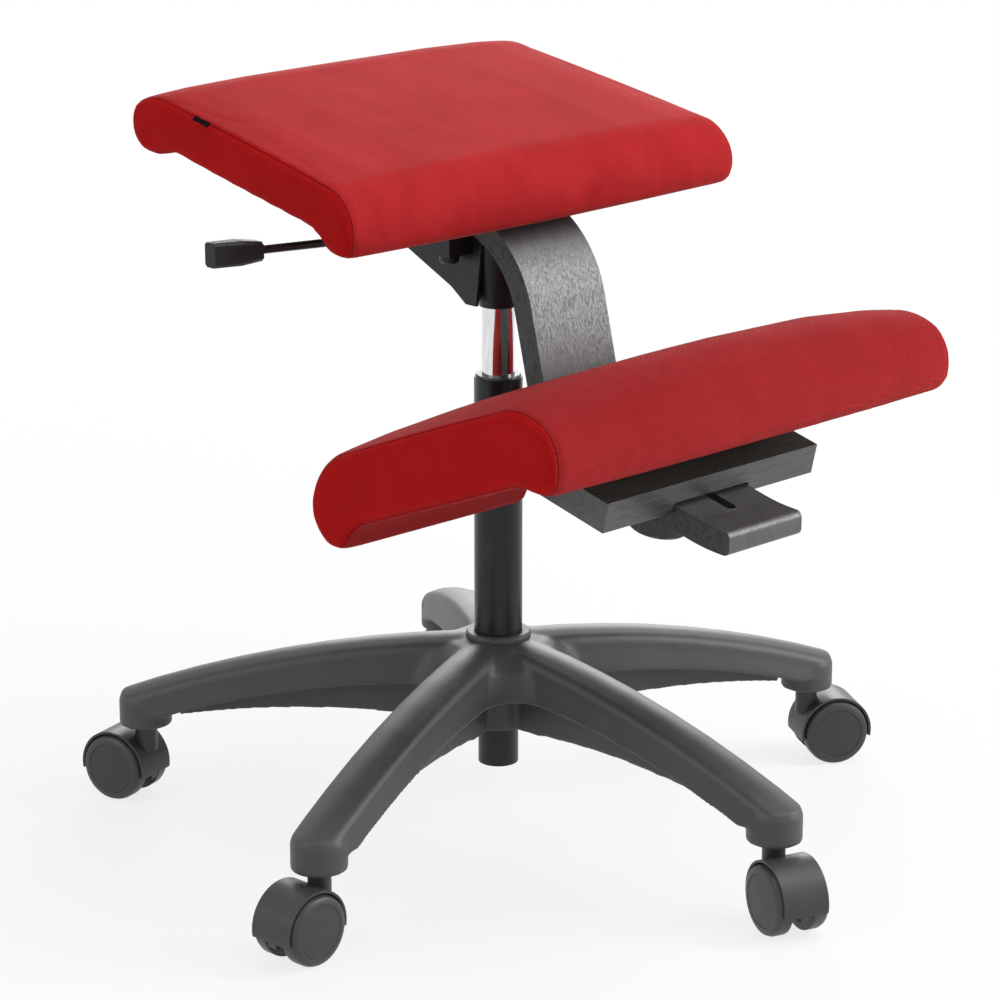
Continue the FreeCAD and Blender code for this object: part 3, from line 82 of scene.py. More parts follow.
# The star base and the hub that its arms meet in
ARM_COUNT = 5
ARM_STEP_DEG = 360.0 / ARM_COUNT
FIRST_ARM_DEG = -88.4
ARM_HALF, ARM_FLARE = 22.0 * MM, 0.22            # half width at the crease, and its growth per height
CORNER_RADIUS = 28.0 * MM                        # hollow corners between neighbouring arms, from above
CORNER_FADE = math.radians(3.0)                  # over which a corner's edge falls back inside an arm
HUB_LOW, HUB_CREASE, HUB_TOP = 130.5 * MM, 156.0 * MM, 172.5 * MM
HUB_RADIUS = 52.0 * MM                           # of the plain solid's hub
DOME_SHOULDER, DOME_NECK = 44.0 * MM, 42.0 * MM  # radii on the way up the dome
CORE_LOW, CORE_HIGH = 49.0 * MM, 35.0 * MM       # radii of the corner ring's edges inside the hub
CLEAR_LOW, CLEAR_MARGIN = 80.0 * MM, 2.0 * MM    # underside of the clearing, and its margin at the hub
SLEEVE_RADIUS, RIB_HALF = 25.6 * MM, 2.6 * MM    # just past the sleeve's wall and a rib's side
BASE_VOXEL, BASE_QUICK_VOXEL, BASE_ROUNDS = 1.5 * MM, 2.6 * MM, 14
MOST_TRIANGLES = 190000

# Rounded edges of the rigid pieces
SHARP = math.radians(32.0)
PLAIN_EDGE = 0.4 * MM
EDGES = {"bent_arm": 1.2 * MM, "knee_wedge": 0.8 * MM, "seat_board": 0.6 * MM, "lever_grip": 0.9 * MM,
         "clamp_knob": 0.8 * MM, "hub_collar": 0.5 * MM}


# Shader maths


class Value:
    """One output of a node.  Arithmetic on it adds Math nodes."""

    def __init__(self, paint, socket):
        self.paint, self.socket = paint, socket

    def math(self, operation, *others):
        return self.paint.node("Math", {"operation": operation}, dict(enumerate((self,) + others)))

    def __add__(self, other):
        return self.math("ADD", other)

    def __sub__(self, other):
        return self.math("SUBTRACT", other)

    def __rsub__(self, other):
        return self.paint.node("Math", {"operation": "SUBTRACT"}, {0: other, 1: self})

    def __mul__(self, other):
        return self.math("MULTIPLY", other)

    __radd__ = __add__
    __rmul__ = __mul__

    def abs(self):
        return self.math("ABSOLUTE")

    def sine(self):
        return self.math("SINE")

    def power(self, exponent):
        return self.math("POWER", exponent)

    def between(self, low, high):
        """0 below low, 1 above high, smooth in between."""
        return self.paint.node("MapRange", {"interpolation_type": "SMOOTHSTEP"},
                               {"Value": self, "From Min": low, "From Max": high})


class Paint:
    """A material with one shader, built by naming its nodes."""

    def __init__(self, name, color=(0.5, 0.5, 0.5), roughness=0.5, metallic=0.0, **fixed):
        self.material = bpy.data.materials.new(name)
        self.material.use_nodes = True
        self.tree = self.material.node_tree
        self.shader = self.tree.nodes["Principled BSDF"]
        self.set("Base Color", (*color, 1.0))
        self.set("Roughness", roughness)
        self.set("Metallic", metallic)
        for name, value in fixed.items():
            self.set(name.replace("_", " "), value)

    def node(self, kind, settings=None, inputs=None, output=0):
        made = self.tree.nodes.new("ShaderNode" + kind)
        for name, value in (settings or {}).items():
            setattr(made, name, value)
        for key, value in (inputs or {}).items():
            self.feed(made.inputs[key], value)
        return Value(self, made.outputs[output])

    def feed(self, socket, value):
        if isinstance(value, Value):
            self.tree.links.new(value.socket, socket)
        else:
            socket.default_value = value

    def set(self, name, value):
        self.feed(self.shader.inputs[name], value)

    def place(self):
        """Position on the piece, in metres."""
        return self.node("TexCoord", output="Object")

    def scaled(self, vector, scale):
        """The place with each axis multiplied, which draws a noise out along the smallest."""
        return self.node("Mapping", None, {"Vector": vector, "Scale": scale})

    def axes(self, vector):
        parts = self.tree.nodes.new("ShaderNodeSeparateXYZ")
        self.feed(parts.inputs[0], vector)
        return [Value(self, parts.outputs[i]) for i in range(3)]

    def noise(self, vector, scale, detail=2.0, roughness=0.5, distortion=0.0):
        return self.node("TexNoise", {"noise_dimensions": "3D"},
                         {"Vector": vector, "Scale": scale, "Detail": detail, "Roughness": roughness,
                          "Distortion": distortion})

    def mix(self, share, first, second):
        """Colour between two colours."""
        made = self.tree.nodes.new("ShaderNodeMix")
        made.data_type = "RGBA"
        self.feed(made.inputs["Factor"], share)
        self.feed(made.inputs[6], first if isinstance(first, Value) else (*first, 1.0))
        self.feed(made.inputs[7], second if isinstance(second, Value) else (*second, 1.0))
        return Value(self, made.outputs[2])

    def bump(self, height, distance, strength, normal=None):
        inputs = {"Height": height, "Distance": distance, "Strength": strength}
        if normal is not None:
            inputs["Normal"] = normal
        return self.node("Bump", None, inputs)


def cushion_cloth(name, tilt, datum, top, light, dark, weave_share):
    """Woven cloth.  Its ribs cross on the width and on q, which grows from the datum to both noses and on
    down round them: the distance along the cushion, either way, less the height over its top."""
    paint = Paint(name, roughness=0.85, Sheen_Weight=0.07, Sheen_Roughness=0.4,
                  Sheen_Tint=(1.0, 0.55, 0.52, 1.0), Specular_IOR_Level=0.10)
    place = paint.place()
    x, y, z = paint.axes(place)
    ahead = (datum[0] - y) * math.cos(tilt) + (z - datum[1]) * math.sin(tilt)
    height = (z - datum[1]) * math.cos(tilt) - (datum[0] - y) * math.sin(tilt) - top
    q = ahead.abs() - height
    turns = 2 * math.pi / (1.7 * MM)
    u = x * turns + paint.noise(place, 60.0, 1.0) * 0.6
    v = q * turns
    ribs = (u + v).sine() * 0.5 + (u - v).sine() * 0.35
    threads = paint.noise(place, 900.0, 2.0, 0.6)
    cloud = paint.noise(place, 22.0, 3.0, 0.55, 0.6)
    patch = paint.noise(place, 7.0, 2.0, 0.5)
    streak = paint.noise(paint.scaled(place, (1.0, 0.22, 0.22)), 46.0, 3.0, 0.6, 0.3)
    share = 0.5 + (cloud - 0.5) * 0.9 + (patch - 0.5) * 0.5 + (streak - 0.5) * 0.6 + ribs * weave_share
    share = share + (threads - 0.5) * 0.7
    paint.set("Base Color", paint.mix(share.between(0.0, 1.0), dark, light))
    paint.set("Roughness", 0.80 + cloud * 0.12)
    lumps = paint.bump(cloud, 0.6 * MM, 0.4)
    paint.set("Normal", paint.bump(ribs * (2.2 * weave_share) + threads * 0.6, 0.26 * MM, 0.9, lumps))
    return paint.material


def panel_cloth(name, light, dark):
    """Plain close cloth of the side panels."""
    paint = Paint(name, roughness=0.8, Specular_IOR_Level=0.08)
    place = paint.place()
    _, y, z = paint.axes(place)
    turns = 2 * math.pi / (1.5 * MM)
    warp, weft = (y * 0.94 + z * 0.34) * turns, (z * 0.94 - y * 0.34) * turns
    ribs = warp.sine() * weft.sine()
    cloud = paint.noise(place, 30.0, 3.0, 0.55)
    threads = paint.noise(place, 1100.0, 1.0)
    share = cloud * 0.8 + ribs * 0.1 + (threads - 0.5) * 0.3
    paint.set("Base Color", paint.mix(share.between(0.1, 0.75), dark, light))
    paint.set("Normal", paint.bump(ribs * 0.5 + threads * 0.5, 0.12 * MM, 0.6,
                                   paint.bump(cloud, 0.5 * MM, 0.25)))
    return paint.material


def thread(name, color):
    """Twisted sewing thread, with painted shade: darker in the grooves of the twist."""
    paint = Paint(name, color, 0.9, Specular_IOR_Level=0.05)
    place = paint.place()
    x, y, z = paint.axes(place)
    twist = ((x + y + z) * (2 * math.pi / (1.4 * MM))).sine()
    # Painted shade: the low grooves of the twist are painted darker.
    paint.set("Base Color", paint.mix(twist.between(-1.0, 1.0), [0.6 * c for c in color], color))
    paint.set("Normal", paint.bump(twist, 0.1 * MM, 0.8))
    return paint.material


def moulded_plastic(name, color, roughness, grain=0.06, gloss=0.5):
    """Plastic with a fine spark grain of so many mm, cloudy gloss and a painted highlight: its convex edges
    are painted paler.
    """
    paint = Paint(name, roughness=roughness, Specular_IOR_Level=gloss)
    place = paint.place()
    spark = paint.noise(place, 1400.0, 2.0, 0.6)
    cloud = paint.noise(place, 14.0, 4.0, 0.6)
    # Painted highlight: convex edges, found by pointiness, are painted paler.
    edge_highlight = paint.node("NewGeometry", output="Pointiness").between(0.52, 0.60)
    deep = [c * (1.0 - 0.12) for c in color]
    pale = [min(1.0, c * (1.0 + 0.12) + 0.002) for c in color]
    body = paint.mix((cloud * 0.7 + spark * 0.3).between(0.25, 0.75), deep, pale)
    edge_highlight_color = [min(1.0, 1.35 * c + 0.01) for c in color]
    paint.set("Base Color", paint.mix(edge_highlight * 0.35, body, edge_highlight_color))
    paint.set("Roughness", roughness - 0.06 + cloud * 0.12)
    paint.set("Normal", paint.bump(spark, grain * MM, 0.7))
    return paint.material


def coated_steel(name, color, roughness):
    """Powder-coated steel with a slight orange peel."""
    paint = Paint(name, roughness=roughness, Specular_IOR_Level=0.32)
    place = paint.place()
    peel = paint.noise(place, 420.0, 2.0, 0.5)
    dust = paint.noise(place, 30.0, 4.0, 0.65)
    pale = [2.2 * c + 0.004 for c in color]
    paint.set("Base Color", paint.mix(dust.between(0.42, 0.85), color, pale))
    paint.set("Roughness", roughness - 0.05 + dust * 0.14)
    paint.set("Normal", paint.bump(peel, 0.06 * MM, 0.6))
    return paint.material


def bright_steel(name, color, roughness, axis_scale=(60, 60, 900)):
    """Turned or ground steel: fine lines round the piece."""
    paint = Paint(name, color, roughness, 1.0)
    place = paint.place()
    lines = paint.noise(paint.scaled(place, axis_scale), 1.0, 2.0, 0.6)
    smear = paint.noise(place, 25.0, 3.0, 0.6)
    paint.set("Base Color", paint.mix(lines.between(0.3, 0.7), [0.86 * c for c in color], color))
    paint.set("Roughness", roughness * 0.7 + lines * (roughness * 0.5) + smear * 0.05)
    paint.set("Normal", paint.bump(lines, 0.01 * MM, 0.4))
    return paint.material


def stained_wood(name, dark, light, along, edge_at=None):
    """Open-grained wood under a dark stain.  The grain is noise drawn out lengthways: its scale is high
    across the piece and low along it.  along lists the scale on each axis.  Past edge_at from the middle
    the cut edge is darker and duller."""
    paint = Paint(name, roughness=0.36, Specular_IOR_Level=0.85)
    place = paint.place()
    sway = paint.noise(place, 5.0, 2.0)
    grain = paint.noise(paint.scaled(place, along), 1.0, 4.0, 0.6, 0.15)
    pores = paint.noise(paint.scaled(place, [2.4 * a for a in along]), 1.0, 2.0, 0.55)
    figure = paint.noise(paint.scaled(place, [0.25 * a for a in along]), 1.0, 3.0, 0.5, 0.8)
    fleck = pores.between(0.50, 0.66)
    share = (grain - 0.5) * 0.8 + (figure - 0.5) * 0.6 + (sway - 0.5) * 0.5 + 0.5
    body = paint.mix(share.between(0.1, 0.95), dark, light)
    color = paint.mix(fleck * 0.35, body, [0.45 * c for c in dark])
    roughness = 0.30 + grain * 0.14 + fleck * 0.16
    if edge_at is not None:
        edge = paint.axes(place)[0].abs().between(edge_at - 0.6 * MM, edge_at - 0.1 * MM)
        color = paint.mix(edge, color, [0.35 * c for c in dark])
        roughness = roughness + edge * 0.3
    paint.set("Base Color", color)
    paint.set("Roughness", roughness)
    paint.set("Normal", paint.bump(grain * 0.35 - fleck * 0.65, 0.16 * MM, 0.7))
    return paint.material


def plywood(name):
    """Bare plywood: pale face grain and thin darker plies on the edge."""
    paint = Paint(name, roughness=0.7)
    place = paint.place()
    grain = paint.noise(paint.scaled(place, (14, 160, 160)), 1.0, 4.0, 0.6, 0.5)
    paint.set("Base Color", paint.mix(grain.between(0.3, 0.7), (0.15, 0.105, 0.065), (0.24, 0.175, 0.11)))
    paint.set("Normal", paint.bump(grain, 0.1 * MM, 0.5))
    return paint.material


RED_LIGHT, RED_DARK = (0.445, 0.021, 0.023), (0.325, 0.010, 0.012)
PANEL_LIGHT, PANEL_DARK = (0.44, 0.0065, 0.0072), (0.36, 0.0045, 0.005)

FINISHES = {
    "base_plastic": moulded_plastic("grey base plastic", (0.054, 0.0565, 0.0575), 0.47, gloss=0.42),
    "collar_plastic": moulded_plastic("grey collar plastic", (0.060, 0.064, 0.066), 0.47, gloss=0.45),
    "column_steel": coated_steel("black column coat", (0.0065, 0.0068, 0.007), 0.30),
    "guide_plastic": moulded_plastic("black guide plastic", (0.02, 0.02, 0.021), 0.4),
    "bearing_steel": bright_steel("ground steel", (0.55, 0.55, 0.56), 0.3),
    "gas_chrome": bright_steel("polished chrome", (0.78, 0.78, 0.79), 0.07, (300, 300, 40)),
    "bracket_steel": coated_steel("black bracket coat", (0.011, 0.011, 0.012), 0.38),
    "zinc_steel": bright_steel("zinc plated steel", (0.45, 0.45, 0.44), 0.38),
    "lever_steel": coated_steel("black lever coat", (0.010, 0.010, 0.011), 0.32),
    "grip_plastic": moulded_plastic("black grip plastic", (0.0055, 0.006, 0.006), 0.40, 0.08, gloss=0.28),
    "valve_plastic": moulded_plastic("red valve plastic", (0.25, 0.02, 0.02), 0.4),
    "hood_plastic": moulded_plastic("grey hood plastic", (0.038, 0.040, 0.042), 0.42, gloss=0.38),
    "wheel_plastic": moulded_plastic("dark wheel plastic", (0.032, 0.033, 0.035), 0.40),
    "cap_plastic": moulded_plastic("grey cap plastic", (0.038, 0.040, 0.041), 0.42, gloss=0.36),
    "stained_wood": stained_wood("dark stained wood", (0.026, 0.028, 0.029), (0.072, 0.075, 0.077),
                                 (520, 95, 95), 43.0 * MM),
    "wedge_board": stained_wood("dark painted board", (0.027, 0.031, 0.032), (0.050, 0.056, 0.058),
                                (18, 150, 150)),
    "plywood": plywood("bare plywood"),
    "knob_plastic": moulded_plastic("black knob plastic", (0.011, 0.011, 0.012), 0.42, 0.08),
}


# Rigid pieces


def added(name, data):
    """New object in the scene."""
    made = bpy.data.objects.new(name, data)
    bpy.context.scene.collection.objects.link(made)
    return made


def painted(mesh, *materials):
    """Gives a mesh these materials and no others."""
    mesh.materials.clear()
    for material in materials:
        mesh.materials.append(material)


def put(name, mesh, body, slot, *materials):
    """Adds a mesh as a piece that rides on a body.  Its materials are replaced by those given, if any."""
    piece = added(name, mesh)
    painted(mesh, *materials)
    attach(piece, body)
    return piece


def welded(node):
    """Copy of a node's mesh with its loose triangles joined."""
    mesh = frame["nodes"][node].data.copy()
    work = bmesh.new()
    work.from_mesh(mesh)
    bmesh.ops.remove_doubles(work, verts=work.verts, dist=2e-6)
    bmesh.ops.dissolve_degenerate(work, edges=work.edges, dist=1e-6)
    bmesh.ops.recalc_face_normals(work, faces=work.faces)
    work.to_mesh(mesh)
    work.free()
    if mesh.has_custom_normals:
        mesh.attributes.remove(mesh.attributes["custom_normal"])
    return mesh


def shaped(piece):
    """New mesh of a piece as its modifiers leave it."""
    graph = bpy.context.evaluated_depsgraph_get()
    return bpy.data.meshes.new_from_object(piece.evaluated_get(graph), depsgraph=graph)


def applied(piece):
    """Bakes a piece's modifiers into its mesh."""
    bpy.context.view_layer.update()
    old, mesh = piece.data, shaped(piece)
    piece.modifiers.clear()
    piece.data = mesh
    bpy.data.meshes.remove(old)


def remeshed(piece, voxel, rounds):
    """Bakes an even mesh of small faces, relaxed by so many rounds."""
    remesh = piece.modifiers.new("fine", "REMESH")
    remesh.mode = "VOXEL"
    remesh.voxel_size = voxel
    relax = piece.modifiers.new("relax", "SMOOTH")
    relax.factor = 0.5
    relax.iterations = rounds
    applied(piece)


def combined(piece, operation, form):
    """Bakes a boolean of the piece with the mesh of a closed form."""
    helper = added("helper", form)
    change = piece.modifiers.new("hub", "BOOLEAN")
    change.operation, change.object, change.solver = operation, helper, "EXACT"
    applied(piece)
    bpy.data.objects.remove(helper)


def dress(node, body, slot, edge):
    """Shows a node as its welded copy, with its sharp edges rounded off."""
    mesh = welded(node)
    piece = put(node + "_skin", mesh, body, slot, FINISHES[slot])
    mesh.shade_smooth()
    mesh.set_sharp_from_angle(angle=SHARP)
    bevel = piece.modifiers.new("edge", "BEVEL")
    bevel.width = edge
    bevel.segments = 2
    bevel.limit_method = "ANGLE"
    bevel.angle_limit = SHARP
    bevel.harden_normals = True
    applied(piece)
    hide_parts(node)


def moulding(node, body, slot, voxel):
    """Shows the star base as one moulding with rounded inner and outer edges: cleared and filled round its
    hub, remeshed finely, relaxed, and thinned to at most MOST_TRIANGLES."""
    piece = put(node + "_skin", welded(node), body, slot, FINISHES[slot])
    combined(piece, "DIFFERENCE", hub_clearing())
    combined(piece, "UNION", hub_corners())
    remeshed(piece, voxel, BASE_ROUNDS)
    triangles = sum(len(face.vertices) - 2 for face in piece.data.polygons)
    if triangles > MOST_TRIANGLES:
        thin = piece.modifiers.new("thin", "DECIMATE")
        thin.ratio = MOST_TRIANGLES / triangles
        applied(piece)
    piece.data.shade_smooth()
    painted(piece.data, FINISHES[slot])
    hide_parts(node)


def grid_faces(rows, around, looped=True):
    """Faces between the rows of a grid of points, each row a ring.  looped joins the last to the first."""
    i, j = np.meshgrid(np.arange(rows if looped else rows - 1), np.arange(around), indexing="ij")
    k, m = (i + 1) % rows, (j + 1) % around
    faces = np.stack([i * around + j, i * around + m, k * around + m, k * around + j], -1)
    return faces.reshape(-1, 4).tolist()


def closed_mesh(name, points, faces):
    """Mesh of a closed form with its faces turned outwards."""
    mesh = bpy.data.meshes.new(name)
    mesh.from_pydata(points.reshape(-1, 3).tolist(), [], faces)
    work = bmesh.new()
    work.from_mesh(mesh)
    bmesh.ops.recalc_face_normals(work, faces=work.faces)
    work.to_mesh(mesh)
    work.free()
    return mesh


def hub_corners():
    """Ring that fills the corners between the arms.  Seen from above its edge is, at the angle a from the
    bisector of two arms, D cos a - sqrt(R^2 - D^2 sin^2 a): a circle of radius R whose middle lies D out,
    tangent to both side walls.  Inside an arm the edge falls back to the hub's own radius.  The ring's
    profile is closed: out along its underside, up that edge, over the dome, and down inside the hub."""
    step = math.radians(ARM_STEP_DEG / 2)
    angle = np.radians(np.arange(0.0, 360.0, 1.5))
    off = np.abs((angle - math.radians(FIRST_ARM_DEG)) % (2 * step) - step)

    def edge(z):
        half = ARM_HALF + ARM_FLARE * (HUB_CREASE - z)
        far = (half + CORNER_RADIUS) / math.sin(step)
        tangent = step - math.atan(half * math.tan(step) / (half + CORNER_RADIUS))
        inner = np.minimum(off, tangent)
        curve = far * np.cos(inner) - np.sqrt(CORNER_RADIUS ** 2 - (far * np.sin(inner)) ** 2)
        back = np.clip((off - tangent) / CORNER_FADE, 0.0, 1.0)
        return curve * (1 - back) + HUB_RADIUS * back

    high, dome, level = edge(HUB_CREASE), HUB_TOP - HUB_CREASE, 0.0 * angle
    profile = [(level + CORE_LOW, HUB_LOW), (edge(HUB_LOW), HUB_LOW), (high, HUB_CREASE),
               (high - 2.0 * MM, HUB_CREASE + 0.12 * dome),
               (0.45 * high + 0.55 * DOME_SHOULDER, HUB_CREASE + 0.50 * dome),
               (level + DOME_NECK, HUB_CREASE + 0.78 * dome),
               (level + CORE_HIGH, HUB_TOP - 2.5 * MM), (level + CORE_HIGH, HUB_TOP - 12.0 * MM),
               (level + CORE_LOW, HUB_TOP - 24.0 * MM)]
    rings = [np.stack([radius * np.cos(angle), radius * np.sin(angle), level + height], -1)
             for radius, height in profile]
    return closed_mesh("hub_corners", np.array(rings), grid_faces(len(profile), len(angle)))


def hub_clearing():
    """Prisms that clear the space between the ribs under the hub: each is a ring sector from the sleeve to
    past the hub's radius, with its straight sides along the ribs, RIB_HALF from their middles."""
    low, high = CLEAR_LOW, HUB_LOW - CLEAR_MARGIN
    points, faces = [], []
    for number in range(ARM_COUNT):
        first = math.radians(FIRST_ARM_DEG + number * ARM_STEP_DEG)
        last = first + math.radians(ARM_STEP_DEG)
        plan = []
        for radius, order in ((SLEEVE_RADIUS, 1), (HUB_RADIUS + CLEAR_MARGIN, -1)):
            skip = math.asin(RIB_HALF / radius)
            turn = np.linspace(first + skip, last - skip, 12)[::order]
            plan += [(radius * math.cos(t), radius * math.sin(t)) for t in turn]
        base, count = len(points), len(plan)
        points += [(x, y, z) for z in (low, high) for x, y in plan]
        faces += [[base + n for n in range(count)], [base + count + n for n in reversed(range(count))]]
        faces += [[base + n, base + (n + 1) % count, base + count + (n + 1) % count, base + count + n]
                  for n in range(count)]
    return closed_mesh("hub_clearing", np.array(points), faces)


record = frame["record"]
slot_of = {part["node"]: part["material_slot"] for part in record["subparts"]}
body_of = {node: body for body, nodes in record["behaviour"]["bodies"].items() for node in nodes}

for node, slot in slot_of.items():
    if node == "star_base":
        moulding(node, body_of[node], slot, BASE_VOXEL)
    elif node not in ("seat_cushion", "knee_cushion"):
        dress(node, body_of[node], slot, EDGES.get(node, PLAIN_EDGE))


# Cushions


def slanted(points, datum, tilt):
    """Distance ahead of a datum and height over it, in a plane tilted about X: the turn of the point's
    offset by the tilt."""
    forward, up = datum[0] - points[:, 1], points[:, 2] - datum[1]
    return (forward * math.cos(tilt) + up * math.sin(tilt), up * math.cos(tilt) - forward * math.sin(tilt))


def seat_cover(points):
    """The plain seat solid's points moved to the shape of the sewn cover.  Ahead of the datum nothing
    changes lengthways, behind it lengths grow in one ratio; widths shrink evenly from the front nose to
    the rear one; the top's crown is lowered; and the whole is set at the cover's tilt."""
    ahead, height = slanted(points, SEAT_DATUM, SEAT_TILT)
    across = points[:, 0] / SEAT_HALF
    ahead = np.where(ahead < 0, ahead * (COVER_REAR / SEAT_REAR), ahead)
    share = (ahead + COVER_REAR) / (COVER_REAR + SEAT_FRONT)
    half = COVER_HALF_REAR + (COVER_HALF_FRONT - COVER_HALF_REAR) * share
    bow = 1.0 - np.minimum(1.0, np.abs(across)) ** CROWN_POWER
    flat = (SEAT_THICK + COVER_CROWN * bow) / (SEAT_THICK + CROWN * bow)
    height = np.where(height > 0, height * flat, height)
    cos, sin = math.cos(COVER_TILT), math.sin(COVER_TILT)
    return np.column_stack([across * half, COVER_DATUM[0] - (ahead * cos - height * sin),
                            COVER_DATUM[1] + ahead * sin + height * cos])


def seam_loop(mesh, x):
    """The ring of points where a side panel is sewn on: the welded mesh's own edges in the plane x."""
    points = points_of(mesh)
    on = set(np.nonzero(np.abs(points[:, 0] - x) < ON_SEAM)[0].tolist())
    links = {i: [] for i in on}
    for a, b in mesh.edge_keys:
        if a in on and b in on:
            links[a].append(b)
            links[b].append(a)
    start = max(on, key=lambda i: points[i, 2])
    ring, before, here = [], None, start
    while True:
        ring.append(here)
        ways = [n for n in links[here] if n != before]
        before, here = here, (ways[0] if ways else start)
        if here == start or len(ring) > len(on):
            break
    return points[ring]


def even_ring(points, step):
    """The closed line resampled at even steps along its length."""
    closed = np.vstack([points, points[:1]])
    length = np.concatenate([[0], np.cumsum(np.linalg.norm(np.diff(closed, axis=0), axis=1))])
    count = max(8, int(length[-1] / step))
    where = np.linspace(0, length[-1], count, endpoint=False)
    return np.column_stack([np.interp(where, length, closed[:, i]) for i in range(3)])


def tube_mesh(name, centre, radius, around=8):
    """Closed tube along a ring: at each point, a circle in the plane square to the line.
    Point = centre + radius * (cos a * side + sin a * up), with side = line x up."""
    ahead = np.roll(centre, -1, 0) - np.roll(centre, 1, 0)
    ahead /= np.linalg.norm(ahead, axis=1)[:, None]
    side = np.tile(np.array([1.0, 0, 0]), (len(centre), 1))
    up = np.cross(ahead, side)
    up /= np.linalg.norm(up, axis=1)[:, None]
    a = np.linspace(0, 2 * math.pi, around, endpoint=False)
    cos, sin = np.cos(a)[None, :, None], np.sin(a)[None, :, None]
    ring = centre[:, None] + radius * (cos * side[:, None] + sin * up[:, None])
    mesh = closed_mesh(name, ring, grid_faces(len(centre), around))
    mesh.shade_smooth()
    return mesh


def points_of(mesh, what="co"):
    """A row for each vertex: its place, or as "normal" its normal."""
    flat = np.zeros(len(mesh.vertices) * 3, np.float32)
    mesh.vertices.foreach_get(what, flat)
    return flat.reshape(-1, 3).astype(float)


def give_points(mesh, points):
    """Moves each vertex to its row's place."""
    mesh.vertices.foreach_set("co", points.astype(np.float32).ravel())
    mesh.update()


def eased(piece, cap):
    """Takes the shape that the piece's modifiers give it, with every point kept within cap of its start."""
    start, mesh = points_of(piece.data), shaped(piece)
    moved = points_of(mesh) - start
    bpy.data.meshes.remove(mesh)
    piece.modifiers.clear()
    length = np.linalg.norm(moved, axis=1)[:, None]
    give_points(piece.data, start + moved * np.minimum(1.0, cap / np.maximum(length, 1e-9)))


def swell(piece, cap, frames=20, pressure=4.0):
    """Blows the cloth up by air pressure over so many frames, without weight."""
    cloth = piece.modifiers.new("cloth", "CLOTH")
    cloth.settings.quality = 5
    cloth.settings.mass = 0.3
    cloth.settings.use_pressure = True
    cloth.settings.uniform_pressure_force = pressure
    cloth.settings.effector_weights.gravity = 0.0
    cloth.settings.tension_stiffness = 15
    cloth.settings.compression_stiffness = 15
    cloth.settings.bending_stiffness = 0.5
    cloth.point_cache.frame_start = 1
    cloth.point_cache.frame_end = frames
    scene = bpy.context.scene
    for number in range(1, frames + 1):
        scene.frame_set(number)
    eased(piece, cap)
    scene.frame_set(1)


def settle(piece, form, cap):
    """Draws the cloth back towards the faces of a form."""
    wrap = piece.modifiers.new("wrap", "SHRINKWRAP")
    wrap.target = form
    wrap.wrap_method = "NEAREST_SURFACEPOINT"
    bpy.context.view_layer.update()
    eased(piece, cap)


def laid_on(piece, ring, lift, rounds=6):
    """A closed line drawn onto the piece's nearest faces, evened out, and lifted off them."""
    tree = BVHTree.FromObject(piece, bpy.context.evaluated_depsgraph_get())
    found = [tree.find_nearest(p)[:2] for p in ring]
    line = np.array([tuple(place) for place, _ in found])
    normal = np.array([tuple(face) for _, face in found])
    for _ in range(rounds):
        line = 0.5 * line + 0.25 * (np.roll(line, 1, 0) + np.roll(line, -1, 0))
        normal = 0.5 * normal + 0.25 * (np.roll(normal, 1, 0) + np.roll(normal, -1, 0))
    return line + lift * normal / np.linalg.norm(normal, axis=1)[:, None]


def gap_to(points, line, most=3000):
    """Distance from each point to the nearest of a line's points, about so many points at a time."""
    gaps = []
    for block in np.array_split(points, max(1, len(points) // most)):
        gaps.append(np.sqrt(((block[:, None] - line[None]) ** 2).sum(2).min(1)))
    return np.concatenate(gaps)


def cushion(node, body, half, cloth, panel, sewing, cover=None):
    """Padded cushion on the space of its solid: remeshed, relaxed, swollen, drawn back to the form's
    faces, and then creased and sewn at both seams.  cover moves the solid's points to the sewn form."""
    source = welded(node)
    rings = [even_ring(seam_loop(source, side * half), THREAD_STEP) for side in (-1, 1)]
    form = added("form", source.copy())
    piece = put(node + "_pad", source, body, slot_of[node])
    remeshed(piece, PAD_VOXEL, PAD_ROUNDS)
    outside = np.abs(points_of(piece.data)[:, 0]) - half
    if cover is not None:
        rings = [cover(ring) for ring in rings]
        for mesh in (form.data, piece.data):
            give_points(mesh, cover(points_of(mesh)))
    swell(piece, SWELL_CAP)
    mark = piece.data.attributes.new("past_seam", "FLOAT", "POINT")
    mark.data.foreach_set("value", outside.astype(np.float32))
    divide = piece.modifiers.new("divide", "SUBSURF")
    divide.levels = divide.render_levels = 1
    applied(piece)
    settle(piece, form, SETTLE_CAP)
    bpy.data.objects.remove(form)
    mesh = piece.data
    points, normals = points_of(mesh), points_of(mesh, "normal")
    for ring in rings:
        crease = SEAM_DEPTH * np.exp(-(gap_to(points, ring) / SEAM_REACH) ** 2)
        points = points - normals * crease[:, None]
    give_points(mesh, points)
    mesh.shade_smooth()
    painted(mesh, cloth, panel)
    past = np.zeros(len(mesh.vertices), np.float32)
    mesh.attributes["past_seam"].data.foreach_get("value", past)
    corners = np.zeros(len(mesh.loops), np.int32)
    mesh.loops.foreach_get("vertex_index", corners)
    on_panel = past[corners].reshape(-1, 4).mean(1) > 0
    mesh.polygons.foreach_set("material_index", on_panel.astype(np.int32))
    mesh.attributes.remove(mesh.attributes["past_seam"])
    mesh.update()
    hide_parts(node)
    rings = [laid_on(piece, ring, THREAD_LIFT) for ring in rings]
    for side, ring in zip(("right", "left"), rings):
        name = node + "_seam_" + side
        put(name, tube_mesh(name, ring, THREAD_RADIUS), body, slot_of[node], sewing)
    return rings


